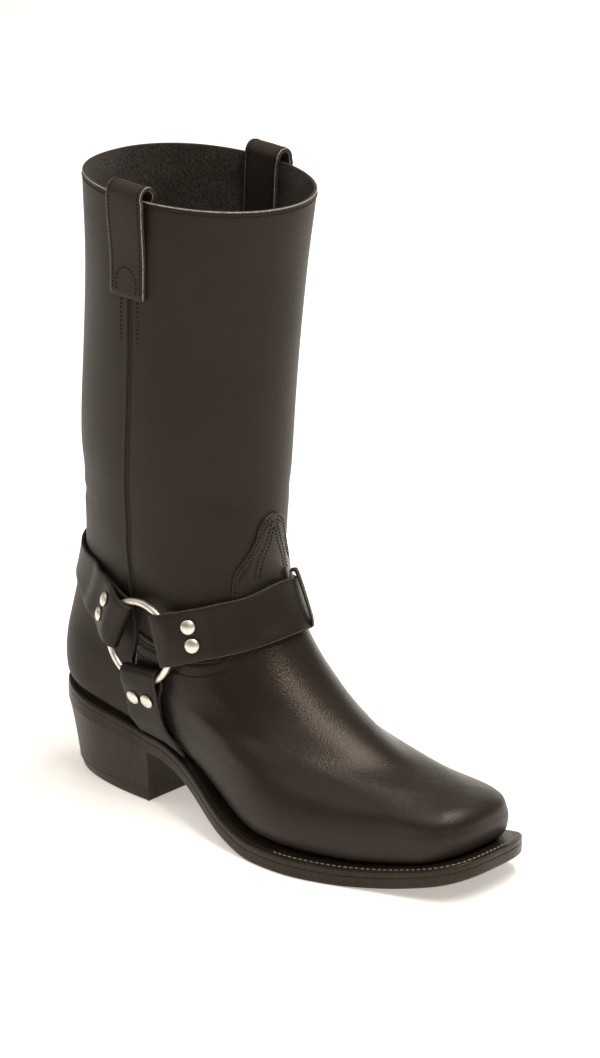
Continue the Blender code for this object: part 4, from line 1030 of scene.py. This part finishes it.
STRAP_COLUMNS = 9
EDGE_TRIM = 0.5             # the rounded edge takes this off each half of a strap
BACK_LEG_STEP, OUTER_LEG_STEP = 1.5, 1.2    # between the rows of a strap's two legs
REACH_SPARE = 0.1                           # lets a leg's last row fall on its end
BOTTOM_ROWS = 9                             # of the bottom strap below its leg
BOTTOM_SOFT_ROWS, BOTTOM_PASSES = 12, 3     # its last rows, evened out
FOLD_BENDS = np.radians(np.linspace(-90, 90, 15))
MEET_ROWS, MEET_PASSES = 4, 4               # rows evened out where a strap's leg meets its run
INSTEP_ROWS, HEEL_STRAP_ROWS = 48, 52       # from each leg to the centre line
# Looks of a harness strap: its face, its cut edges, and a painted highlight along their corners
STRAP_LOOKS = [strap_leather, dark_edge, painted_corner_highlight]


def strap_end(at, strap, reach_to):
    """Rows of a strap from the end of its folded-back leg, round the ring's wire and out again."""
    half = strap.half_width - EDGE_TRIM
    sides = np.linspace(-half, half, STRAP_COLUMNS)
    crease = math.sqrt(RING_RADIUS**2 - strap.half_width**2) - FOLD_INSIDE
    pinch = (PINCH_FROM, PINCH_TO)
    rows = []
    for reach in np.arange(TURN_BACK_END, PINCH_FROM, -BACK_LEG_STEP):
        hidden = sides * (1 - TUCK * ease(*pinch, reach))
        rows.append([leg_point(at, strap, reach, u, -FOLD, strap.base + STRAP / 2, pinch) for u in hidden])
    for b in FOLD_BENDS:
        reach = crease - FOLD * math.cos(b)
        rows.append([by_ring(at, strap.angle, reach, u, FOLD * math.sin(b)) for u in sides])
    for reach in np.arange(crease + OUTER_LEG_STEP, reach_to + REACH_SPARE, OUTER_LEG_STEP):
        rows.append([outer_leg(at, strap, reach, u) for u in sides])
    return rows


def run_rows(strap, knots_low, knots_high, count):
    """Rows of a strap lying on the boot, through (level, turn) knots of its two edges.

    They begin after the second knot and end at the last but one; the outer two only steer the curve."""
    low = np.array(knots_low)
    high = np.array(knots_high)
    places = (on_upper(low[:, 0], low[:, 1]) + on_upper(high[:, 0], high[:, 1])) / 2
    share = run_share(*places.T)
    length = np.linalg.norm(np.diff(places, axis=0), axis=1).sum()
    rows = []
    trim = EDGE_TRIM / (2 * strap.half_width)
    for t in np.linspace(share[1], share[-2], count + 1)[1:]:
        a = np.array([smooth(share, low[:, k], t) for k in (0, 1)])
        b = np.array([smooth(share, high[:, k], t) for k in (0, 1)])
        across = [a + (b - a) * f for f in np.linspace(trim, 1 - trim, STRAP_COLUMNS)]
        height = outer_height(strap, END_REACH - LEAD + t * length)
        rows.append([on_upper(level, turn, height + ridge_lift(turn)) for level, turn in across])
    return rows


def wrapped_half(at, strap, run, count):
    """Rows of half a strap: from its folded end at one ring to the boot's centre line."""
    first_edge = -1 if strap.angle < 90 else 1
    starts = []
    for edge in (first_edge, -first_edge):
        reaches = (END_REACH - LEAD, END_REACH)
        laid = [by_ring(at, strap.angle, reach, edge * strap.half_width) for reach in reaches]
        starts.append([locate(p[0], p[2], at.side) for p in laid])
    mirrored = Run(2 * run[-1].turn - run[-2].turn, -run[-2].lean, run[-2].low, run[-2].high)
    low = starts[0] + [(r.low, at.side * (r.turn + r.lean)) for r in run + [mirrored]]
    high = starts[1] + [(r.high, at.side * (r.turn - r.lean)) for r in run + [mirrored]]
    end = strap_end(at, strap, END_REACH)
    if first_edge == 1:
        end = [row[::-1] for row in end]
    return end + run_rows(strap, low, high, count)


def soften(rows, first, last, passes):
    """Even out the rows between two row numbers, where two ways of laying the strap meet."""
    rows = np.array(rows)
    for _ in range(passes):
        rows[first:last] = (rows[first - 1:last - 1] + 2 * rows[first:last] + rows[first + 1:last + 1]) / 4
    return rows


def make_wrapped_strap(name, strap, run, count):
    halves = []
    for at in RINGS.values():
        half = wrapped_half(at, strap, run, count)
        meet = len(half) - count
        halves.append(soften(half, meet - MEET_ROWS, meet + MEET_ROWS, MEET_PASSES))
    rows = np.concatenate([halves[0], halves[1][-2::-1]])
    return add_ribbon(f"{name}_leather", rows, STRAP, STRAP_LOOKS, slot="strap_leather", replaces=[name])


def make_bottom_strap(name, at):
    """Strap from the ring down to the welt."""
    rows = strap_end(at, BOTTOM, BOTTOM_REACH)
    places = [[locate(f.back_x, f.back_z, at.side), locate(f.front_x, f.front_z, at.side)]
              for f in BOTTOM_RUN]
    trim = EDGE_TRIM / (2 * BOTTOM.half_width)
    for t in np.linspace(0, len(places) - 1, BOTTOM_ROWS):
        k = min(int(t), len(places) - 2)
        back, front = [a + (b - a) * (t - k) for a, b in zip(places[k], places[k + 1])]
        here = on_upper(*((back + front) / 2))
        height = outer_height(BOTTOM, RING_Z - here[2])
        across = [back + (front - back) * f for f in np.linspace(trim, 1 - trim, STRAP_COLUMNS)]
        rows.append([on_upper(level, turn, height) for level, turn in across])
    rows = soften(rows, len(rows) - BOTTOM_SOFT_ROWS, len(rows) - 1, BOTTOM_PASSES)
    return add_ribbon(f"bottom_strap_leather_{name}", rows, STRAP, STRAP_LOOKS, slot="strap_leather",
                      replaces=[f"bottom_strap_{name}"])


KEEPER_ROWS, KEEPER_COLUMNS = 72, 7
KEEPER_CORNER = 0.75        # thickness at its outer corners, as a share


def squared(share):
    """Share of a rounded square from that of a circle."""
    return math.copysign(abs(share) ** KEEPER_SQUARE, share)


def make_keeper():
    """Thin closed band round the instep strap."""
    last = INSTEP_RUN[-1]
    tall = 2 * INSTEP.half_width
    per_mm = (last.high - last.low) / tall
    middle = (last.high + last.low) / 2
    turns = KEEPER_TURN + KEEPER_WIDTH_TURN * np.linspace(-0.5, 0.5, KEEPER_COLUMNS)
    extras = np.full(KEEPER_COLUMNS, KEEPER)
    extras[[0, -1]] *= KEEPER_CORNER
    section = list(zip(turns, 0 * extras)) + list(zip(turns[::-1], extras))
    rings = []
    for a in circle(KEEPER_ROWS):
        across, through = squared(math.cos(a)), squared(math.sin(a))
        arch = KEEPER_ARCH * max(0.0, through) * (1 - across**2)
        ring = []
        for turn, extra in section:
            centre = INSTEP.base + ridge_lift(turn) + STRAP / 2
            height = centre + through * (STRAP / 2 + KEEPER_CLEAR + extra) + arch
            level = middle + across * (tall / 2 + KEEPER_CLEAR + KEEPER_SPARE + extra) * per_mm
            ring.append(on_upper(level, turn, height))
        rings.append(ring)
    quads = grid_quads(len(rings), len(section), wrap_rows=True)
    return add_piece("strap_keeper_leather", rings, [quads], [strap_leather], slot="strap_leather",
                     replaces=["strap_keeper"], sharp=50)


def circle(count):
    """Angles once round."""
    return np.arange(count) * 2 * math.pi / count


RING_STEPS, WIRE_STEPS = 96, 20


def make_ring(name, at):
    """Harness ring of round wire."""
    rows = []
    for a in circle(RING_STEPS):
        ray = math.cos(a) * at.forward + math.sin(a) * at.up
        rows.append([at.centre + ray * (RING_RADIUS + WIRE * math.cos(b)) + at.out * WIRE * math.sin(b)
                     for b in circle(WIRE_STEPS)])
    quads = grid_quads(RING_STEPS, WIRE_STEPS, wrap_rows=True)
    return add_piece(f"harness_ring_{name}", rows, [quads], [nickel], slot="nickel",
                     replaces=[f"ring_{name}"], body=f"{name}_ring")


RIVET_STEPS, RIM_POINTS = 32, 8
# Radius, as a share, and height of the rivet head, from its foot to its dome
RIVET_PROFILE = [(0.90, -RIVET_CLEAR), (0.97, -0.1), (1.0, 0.12), (0.985, 0.38), (0.93, 0.68), (0.82, 1.02),
                 (0.66, 1.36), (0.46, 1.64), (0.24, 1.83)]


def make_rivet(name, at, strap, aside):
    """Domed rivet head on the outer leg of a strap."""
    def leg(ahead, beside_it):
        return outer_leg(at, strap, strap.rivet_out + ahead, aside + beside_it)
    r = RIVET_RADIUS
    middle = leg(0, 0)
    along = leg(r, 0) - leg(-r, 0)
    out = unit(np.cross(along, leg(0, r) - leg(0, -r)))
    out = out * np.sign(np.dot(out, at.out))
    rim = [leg(r * math.cos(a), r * math.sin(a)) for a in circle(RIM_POINTS)]
    proud = max(0.0, max(np.dot(p - middle, out) for p in rim))
    foot = middle + out * (proud + STRAP / 2 + RIVET_CLEAR)
    ahead = unit(along)
    across = np.cross(out, ahead)
    rows = []
    for wide, high in RIVET_PROFILE:
        rows.append([foot + out * high + r * wide * (math.cos(a) * ahead + math.sin(a) * across)
                     for a in circle(RIVET_STEPS)])
    tips = [foot - out * RIVET_CLEAR, foot + out * RIVET_DOME]
    return add_tube(f"{name}_head", rows, [nickel], tips=tips, slot="nickel", replaces=[name])


# Pull straps

PULL_COLUMNS = 13
PULL_EDGE_TRIM = 0.7
PULL_SIDE_ROWS, PULL_BEND_ROWS = 30, 25
TURN_STEP = 0.01            # of turn, to measure by


def pull_rows(side):
    """Rows of one pull strap's middle: up the outside, over the rim and down the inside."""
    wide = on_upper(TOP, PULL_TURN + TURN_STEP) - on_upper(TOP, PULL_TURN - TURN_STEP)
    per_turn = np.linalg.norm(wide) / (2 * TURN_STEP)
    half = PULL_HALF_WIDTH - PULL_EDGE_TRIM
    turns = side * (PULL_TURN + np.linspace(-1, 1, PULL_COLUMNS) * half / per_turn)
    sewn = GAP + PULL / 2
    flat = np.ones(PULL_COLUMNS)
    shares = np.linspace(0, 1, PULL_SIDE_ROWS)
    levels = PULL_FROM_LEVEL + (TOP - PULL_FROM_LEVEL) * shares
    heights = sewn + PULL_STAND_OFF * ease(PULL_OPENS, 1.0, shares)
    outside = [on_upper(level, turns, flat * height) for level, height in zip(levels, heights)]
    inside = [on_upper(level, turns, flat * (-WALL - height)) for level, height in zip(levels, heights)]
    up = np.array([0.0, 0.0, 1.0])
    out = unit(sample(NORMAL, TOP, side * PULL_TURN)) * (1 - up)
    rim = on_upper(TOP, turns, flat * -WALL / 2) + up * PULL_RISE
    radius = WALL / 2 + sewn + PULL_STAND_OFF
    over = [rim + radius * (out * math.cos(b) + up * math.sin(b))
            for b in np.linspace(0, math.pi, PULL_BEND_ROWS)]
    return np.array(outside + over + inside[::-1])


def make_pull_strap(name, rows):
    return add_ribbon(f"pull_strap_leather_painted_lighter_{name}", rows, PULL, [pull_leather_painted_lighter, dark_edge, pale_edge],
                      slot="strap_leather", replaces=[f"pull_strap_{name}"])


# Sole

HALF_STEPS = 150
TOE_CLOSER = 1.15           # draws the outline's points towards the toe
HALF_TURNS = np.linspace(0, 1, HALF_STEPS) ** TOE_CLOSER
OUTLINE_TURNS = np.concatenate([-HALF_TURNS, HALF_TURNS[-2:0:-1]])


def raised(plan, heights):
    return np.column_stack([plan, heights])


def ladder(ring):
    """Faces that cap a long ring of point numbers with rungs from its outer to its inner side."""
    tris = []
    if len(ring) % 2 == 0:
        tris.append((ring[0], ring[1], ring[-1]))
        ring = ring[1:]
    half = len(ring) // 2
    quads = [(ring[i], ring[i + 1], ring[-2 - i], ring[-1 - i]) for i in range(half - 1)]
    tris.append(ring[half - 1:half + 2])
    return np.array(quads), np.array(tris)


def add_plate(name, rings, materials, ring_numbers, end_numbers, **facts):
    """A solid from a stack of rings, capped at both ends; the numbers pick the materials."""
    loops = np.array(rings)
    rows, columns = loops.shape[:2]
    faces = [grid_quads(rows, columns)]
    numbers = [np.repeat(ring_numbers, columns)]
    for first, number, step in ((0, end_numbers[0], -1), ((rows - 1) * columns, end_numbers[1], 1)):
        for part in ladder(np.arange(columns) + first):
            faces.append(part[:, ::step])
            numbers.append(np.full(len(part), number))
    return add_piece(name, loops, faces, materials, numbers, **facts)


OUTSOLE_ROUND = 2.0         # insets below this belong to the rounded edges
SEAT_ROUND = 0.06           # share of the rounding that is left where the heel meets the outsole
SEAT_ENDS = (BREAST_X - 2.0, BREAST_X + 6.0)
# Inset and height of the outsole's section, from the tread round the edge to the top
TREAD_PROFILE = [(9.0, 0.0), (6.2, 0.0), (5.8, 0.45), (5.0, 0.45), (4.6, 0.0), (1.6, 0.0)]
SIDE_PROFILE = [(0.7, 0.25), (0.15, 0.8), (0.0, 1.5), (0.05, 2.6), (0.0, 4.0), (0.0, 6.4), (0.10, 6.85),
                (0.3, 7.0), (1.6, 7.0)]


def make_outsole():
    """Welted sole: rounded lower edge, flat dressed side with a shallow bead, plain tread."""
    free = ease(*SEAT_ENDS, sole_outline(OUTLINE_TURNS)[:, 0])[:, None]
    rings = []
    for inset, height in TREAD_PROFILE + SIDE_PROFILE:
        plan = sole_outline(OUTLINE_TURNS, inset=inset)
        if inset < OUTSOLE_ROUND:
            plan = plan * free + sole_outline(OUTLINE_TURNS, inset=inset * SEAT_ROUND) * (1 - free)
        rings.append(raised(plan, sole_bottom(plan[:, 0]) + height))
    numbers = [1] * len(TREAD_PROFILE) + [0] * (len(SIDE_PROFILE) - 1)
    return add_plate("outsole_edge", rings, [sole_edge, tread], numbers, (1, 0), slot="sole_edge",
                     replaces=["outsole"], sharp=60)


WELT_STITCH_INSET = 3.6
WELT_STITCH_FROM_X = 190.0
WELT_CHANNEL = 0.7          # half-width of the channel the welt stitches lie in
WELT_CHANNEL_DEPTH = 0.5
WELT_FLUSH = 0.12           # of the welt's edge from the outsole's
# Inset and height of the welt's outer edge, then distance in and height of its top with the channel
WELT_SIDE = [(0.12, -GAP), (0.0, 0.0), (0.0, 0.9), (0.0, WELT_EDGE - 1.0), (0.18, WELT_EDGE - 0.35)]
WELT_TOP = [(0.7, -0.05), (1.4, 0.0), (WELT_STITCH_INSET - WELT_CHANNEL, 0.0),
            (WELT_STITCH_INSET - 0.4 * WELT_CHANNEL, -WELT_CHANNEL_DEPTH),
            (WELT_STITCH_INSET + 0.4 * WELT_CHANNEL, -WELT_CHANNEL_DEPTH),
            (WELT_STITCH_INSET + WELT_CHANNEL, 0.0), (6.0, 0.0)]


def welt_plan():
    """Plan outlines of the welt's outer and inner edge."""
    inner = shrink(on_upper(0.0, OUTLINE_TURNS)[:, :2], WELT_UNDER_UPPER)
    return sole_outline(OUTLINE_TURNS, inset=WELT_FLUSH), inner


def on_welt(plan, height):
    """Points at a height above the welt's underside."""
    return raised(plan, welt_bottom(plan[:, 0]) + height)


def welt_line(distance, height):
    """Points on the welt's top at a distance in from its outer edge."""
    outer, inner = welt_plan()
    share = np.minimum(distance / np.linalg.norm(inner - outer, axis=1), 1.0)
    top = WELT_EDGE + (WELT_INNER - WELT_EDGE) * share
    return on_welt(outer + (inner - outer) * share[:, None], top + height)


def make_welt():
    """Welt with a rounded outer edge and a channel for its stitches."""
    outer, inner = welt_plan()
    rings = [on_welt(shrink(outer, inset), height) for inset, height in WELT_SIDE]
    rings += [welt_line(distance, height) for distance, height in WELT_TOP]
    rings += [on_welt(inner, WELT_INNER), on_welt(inner, 0.0)]
    quads = grid_quads(len(rings), len(outer), wrap_rows=True)
    return add_piece("welt_strip", rings, [quads], [sole_edge], slot="sole_edge", replaces=["welt"], sharp=50)


HEEL_STEPS, BASE_STEPS = 60, 200


def heel_section(drop):
    """D-shaped outline of the heel, from breast to breast: 0 under the outsole, 1 on the floor.

    Also gives the height of the outsole's underside over each of its points."""
    steps = np.linspace(0, 1, HEEL_STEPS)
    share, x, c, w = sole_half()
    at_breast = np.interp(-BREAST_X, -x, share)
    top = [np.interp(at_breast + (1 - at_breast) * steps, share, column) for column in (x, c, w)]
    a = np.linspace(0, math.pi / 2, BASE_STEPS)
    length = HEEL_BASE_BREAST_X - HEEL_BASE_BACK_X
    base_x = HEEL_BASE_BREAST_X - length * np.sin(a) ** (2 / HEEL_BASE_POWER)
    base_w = HEEL_BASE_HALF * np.cos(a) ** (2 / HEEL_BASE_POWER)
    base_share = run_share(base_x, base_w)
    base = [np.interp(steps, base_share, base_x), HEEL_BASE_CENTRE_Y,
            np.interp(steps, base_share, base_w)]
    px, pc, pw = [high + (low - high) * drop for high, low in zip(top, base)]
    plan = np.vstack([np.column_stack([px, pc - pw]), np.column_stack([px, pc + pw])[-2::-1]])
    under = sole_bottom(top[0])
    return plan, np.concatenate([under, under[-2::-1]])


HEEL_ROWS = 14
HEEL_END_ROUND = 0.06       # of the block's upper and lower edge
HEEL_JOINT = 0.06           # left open above and below the block


def make_heel():
    """Stacked heel with a dressed edge, from the outsole down to the cap."""
    foot_z = HEEL_CAP_THICK + HEEL_JOINT
    rings = []
    for k, down in enumerate(np.linspace(0, 1, HEEL_ROWS)):
        plan, under = heel_section(CAP_DROP * down ** HEEL_HOLLOW)
        if k in (0, HEEL_ROWS - 1):
            plan = shrink(plan, HEEL_END_ROUND)
        rings.append(raised(plan, (under - HEEL_JOINT) * (1 - down) + foot_z * down))
    return add_plate("heel_stack", rings, [heel_edge_painted_lighter], [0] * (len(rings) - 1), (0, 0),
                     slot="sole_edge", replaces=["heel"], sharp=40)


# Height, drop and inset of the top lift's section, from the heel block down to the floor
CAP_PROFILE = [(HEEL_CAP_THICK, CAP_DROP, HEEL_END_ROUND), (HEEL_CAP_THICK - 0.3, CAP_DROP, 0.0),
               (HEEL_CAP_THICK - 0.8, CAP_DROP, 0.0), (4.0, 0.9, 0.0), (1.2, 1.0, 0.0), (0.5, 1.0, 0.25),
               (0.0, 1.0, 0.9)]


def make_heel_cap():
    rings = []
    for z, drop, inset in CAP_PROFILE:
        plan, _ = heel_section(drop)
        rings.append(raised(shrink(plan, inset), np.full(len(plan), z)))
    numbers = [0] * (len(rings) - 2) + [1]
    return add_plate("heel_top_lift", rings, [heel_edge_painted_lighter, tread], numbers, (0, 1), slot="rubber",
                     replaces=["heel_cap"], sharp=45)


# Rows of stitching

VAMP_THREAD = Thread(2.2, 1.7, 0.36)
COLLAR_THREAD = Thread(2.4, 1.7, 0.33)
PULL_THREAD = Thread(2.3, 1.7, 0.34)
SHAFT_THREAD = Thread(2.6, 1.5, 0.36)
WELT_THREAD = Thread(3.4, 2.5, 0.5)
# Two rows fall from the tongue's peak on each side
TONGUE_ROWS = [[(11.30, 0.010), (10.95, 0.030), (10.45, 0.060), (9.95, 0.078)],
               [(11.22, 0.002), (10.85, 0.018), (10.40, 0.045), (9.95, 0.060)]]
EDGE_POINTS, TONGUE_POINTS, COLLAR_POINTS = 300, 120, 721


def vamp_row(row, side):
    """A line on the vamp inside its sewn edge."""
    shares = np.linspace(row.share_from, row.share_to, EDGE_POINTS) * side
    levels = vamp_edge(shares)
    turns = shares * seam_turn(levels)
    levels, turns = beside(levels, turns, row_distance(row, shares)[:, None] * -side)
    return surface_row(levels, turns, VAMP_TO + ON_LEATHER - (STITCH_SINK if row in SUNK_ROWS else 0.0))


def vamp_stitches():
    rows = []
    for side in SIDES.values():
        rows += [vamp_row(row, side) for row in EDGE_ROWS]
        for places in TONGUE_ROWS:
            levels, turns = curve_through(places, np.linspace(0, 1, TONGUE_POINTS))
            rows.append(surface_row(levels, side * turns, VAMP_TO + ON_LEATHER))
    add_stitches("vamp_stitches", rows, VAMP_THREAD, dark_thread, "leather")


COLLAR_STITCH_DROP = 0.052  # of the row below the rim, in levels


def collar_stitches():
    turns = np.linspace(-1, 1, COLLAR_POINTS)
    row = surface_row(np.full(COLLAR_POINTS, TOP - COLLAR_STITCH_DROP), turns, 0.0)
    add_stitches("collar_stitches", [row], COLLAR_THREAD, dark_thread, "leather")


PULL_STITCH_INSET = 2.6
PULL_STITCH_END = 2.0       # rows begin and end this far from the strap's ends
BOW_RADIUS, BOW_TALL, BOW_FOOT = 7.6, 1.2, 8.0      # the arch at the foot, on legs up to BOW_FOOT
SHAFT_ROW_TURN = 0.033      # of the short rows under the strap, to each side
SHAFT_ROW_DROP = (0.03, 0.50)


def pull_stitches(name, side, rows):
    """Edge rows and the arch at the foot of a pull strap, and the two short rows under it."""
    normal = strip_axes(rows)[2]
    if np.dot(normal[0, PULL_COLUMNS // 2], sample(NORMAL, PULL_FROM_LEVEL, side * PULL_TURN)) < 0:
        normal = -normal
    face = rows + normal * PULL / 2
    steps = np.linalg.norm(np.diff(rows[:, PULL_COLUMNS // 2], axis=0), axis=1)
    lengths = np.concatenate([[0], np.cumsum(steps)])
    half = PULL_HALF_WIDTH - PULL_EDGE_TRIM

    def on_strap(up, aside):
        """A row on the strap's outer face at distances up from its foot and to one side."""
        i = np.interp(up, lengths, np.arange(len(rows)))
        j = (aside / half + 1) / 2 * (PULL_COLUMNS - 1) * np.ones(len(up))
        return Row(between(face, i, j), unit(between(normal, i, j)))

    edge = PULL_HALF_WIDTH - PULL_STITCH_INSET
    full = np.linspace(PULL_STITCH_END, lengths[-1] - PULL_STITCH_END, 300)
    foot = np.linspace(PULL_STITCH_END, BOW_FOOT, 30)
    bow = np.radians(np.linspace(0, 180, 80))
    lines = [on_strap(full, way * edge) for way in (-1, 1)]
    lines.append(on_strap(BOW_FOOT + BOW_RADIUS * np.sin(bow) * BOW_TALL, BOW_RADIUS * np.cos(bow)))
    lines += [on_strap(foot, way * BOW_RADIUS) for way in (-1, 1)]
    add_stitches(f"pull_stitches_{name}", lines, PULL_THREAD, dark_thread, "strap_leather")
    levels = PULL_FROM_LEVEL - np.linspace(*SHAFT_ROW_DROP, 40)
    below = [surface_row(levels, side * (PULL_TURN + way * SHAFT_ROW_TURN) * np.ones(40), ON_LEATHER)
             for way in (-1, 1)]
    add_stitches(f"shaft_stitches_{name}", below, SHAFT_THREAD, dark_thread, "leather")


WELT_STITCH_LIFT = 0.25     # of the thread's middle above the channel's floor


def welt_stitches():
    """Light lockstitch along the welt, all round the forefoot."""
    line = welt_line(WELT_STITCH_INSET, WELT_STITCH_LIFT - WELT_CHANNEL_DEPTH)[np.argsort(OUTLINE_TURNS)]
    line = line[line[:, 0] > WELT_STITCH_FROM_X]
    row = Row(line, np.tile([0.0, 0.0, 1.0], (len(line), 1)))
    add_stitches("welt_stitches", [row], WELT_THREAD, welt_thread, "sole_edge")


make_upper()
make_vamp()
for side_name, side_number in SIDES.items():
    make_side_seam(side_name, side_number)
    strap_rows = pull_rows(side_number)
    make_pull_strap(side_name, strap_rows)
    pull_stitches(side_name, side_number, strap_rows)
    make_ring(side_name, RINGS[side_name])
    make_bottom_strap(side_name, RINGS[side_name])
    for strap_name, strap_sizes in (("instep", INSTEP), ("heel", HEEL), ("bottom", BOTTOM)):
        for number, aside_by in enumerate((RIVET_SIDE, -RIVET_SIDE), start=1):
            make_rivet(f"rivet_{strap_name}_{side_name}_{number}", RINGS[side_name], strap_sizes, aside_by)
make_wrapped_strap("instep_strap", INSTEP, INSTEP_RUN, INSTEP_ROWS)
make_wrapped_strap("heel_strap", HEEL, HEEL_RUN, HEEL_STRAP_ROWS)
make_keeper()
make_outsole()
make_welt()
make_heel()
make_heel_cap()
vamp_stitches()
collar_stitches()
welt_stitches()

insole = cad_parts["insole"]
insole.data.materials.clear()
insole.data.materials.append(insole_leather)


# Floor, light and camera

FLOOR_HALF = 8.0
FLOOR_GLOW, WORLD_GLOW = 0.44, 0.26


def add_floor():
    mesh = bpy.data.meshes.new("floor")
    corners = [(-FLOOR_HALF, -FLOOR_HALF, 0), (FLOOR_HALF, -FLOOR_HALF, 0), (FLOOR_HALF, FLOOR_HALF, 0),
               (-FLOOR_HALF, FLOOR_HALF, 0)]
    mesh.from_pydata(corners, [], [(0, 1, 2, 3)])
    floor = bpy.data.objects.new("floor", mesh)
    bpy.context.scene.collection.objects.link(floor)
    mesh.materials.append(Look("pale_floor").dress({
        "Base Color": (0.92, 0.92, 0.92, 1), "Roughness": 0.9, "Specular IOR Level": 0.1,
        "Emission Color": (1.0, 0.93, 0.85, 1), "Emission Strength": FLOOR_GLOW}))


# Soft boxes in metres, each facing its target with its first side along a direction
Light = namedtuple("Light", "name location target along size power colour")
LIGHTS = [
    Light("ceiling", (0.3, -0.6, 4.0), (0.3, -0.6, 0.0), (1, 0, 0), (7.0, 6.0), 88, (1.0, 0.94, 0.87)),
    Light("key", (0.45, 0.12, 1.62), (0.06, 0.0, 0.07), (0.73, -0.69, 0), (2.0, 0.13), 27, (1.0, 0.93, 0.83)),
    Light("rim", (-0.8, 2.0, 0.45), (0.06, 0.0, 0.10), (1, 0.4, 0), (1.2, 0.5), 4, (1.0, 0.95, 0.87)),
    Light("fill", (-2.0, -1.2, 1.5), (0.0, 0.0, 0.2), (0.5, -1, 0), (1.0, 1.0), 4, (1.0, 0.93, 0.82)),
]


def add_light(light):
    """One soft box, which the camera doesn't see."""
    data = bpy.data.lights.new(light.name, "AREA")
    data.shape = "RECTANGLE"
    data.size, data.size_y = light.size
    data.energy = light.power
    data.color = light.colour
    lamp = bpy.data.objects.new(light.name, data)
    bpy.context.scene.collection.objects.link(lamp)
    back = (Vector(light.location) - Vector(light.target)).normalized()
    across = (Vector(light.along) - back * back.dot(Vector(light.along))).normalized()
    axes = Matrix((across, back.cross(across), back)).transposed().to_4x4()
    lamp.matrix_world = Matrix.Translation(light.location) @ axes
    lamp.visible_camera = False


def add_world():
    world = bpy.data.worlds.new("studio")
    bpy.context.scene.world = world
    world.use_nodes = True
    shade = world.node_tree.nodes["Background"]
    shade.inputs["Color"].default_value = (1.0, 0.95, 0.88, 1)
    shade.inputs["Strength"].default_value = WORLD_GLOW


CAMERA_AZIMUTH, CAMERA_ELEVATION, CAMERA_ROLL = 40.54, 20.18, 1.2
CAMERA_DISTANCE = 2497.4
CAMERA_TARGET = (144.7, 15.9, 173.8)
CAMERA_LENS, CAMERA_SENSOR = 148.9, 36.0


def add_camera():
    az, el, roll = (math.radians(a) for a in (CAMERA_AZIMUTH, CAMERA_ELEVATION, CAMERA_ROLL))
    back = Vector((math.sin(az) * math.cos(el), -math.cos(az) * math.cos(el), math.sin(el)))
    right = Vector((math.cos(az), math.sin(az), 0))
    up = back.cross(right)
    turned_right = math.cos(roll) * right + math.sin(roll) * up
    turned_up = -math.sin(roll) * right + math.cos(roll) * up
    data = bpy.data.cameras.new("camera")
    data.sensor_fit = "VERTICAL"
    data.sensor_height = CAMERA_SENSOR
    data.sensor_width = CAMERA_SENSOR
    data.lens = CAMERA_LENS
    data.clip_start, data.clip_end = 0.05, 60
    camera = bpy.data.objects.new("camera", data)
    bpy.context.scene.collection.objects.link(camera)
    axes = Matrix((turned_right, turned_up, back)).transposed().to_4x4()
    spot = Vector(place(CAMERA_TARGET)) + back * CAMERA_DISTANCE * MM
    camera.matrix_world = Matrix.Translation(spot) @ axes
    bpy.context.scene.camera = camera


add_floor()
add_world()
for each_light in LIGHTS:
    add_light(each_light)
add_camera()
bpy.context.scene.view_settings.view_transform = "Standard"
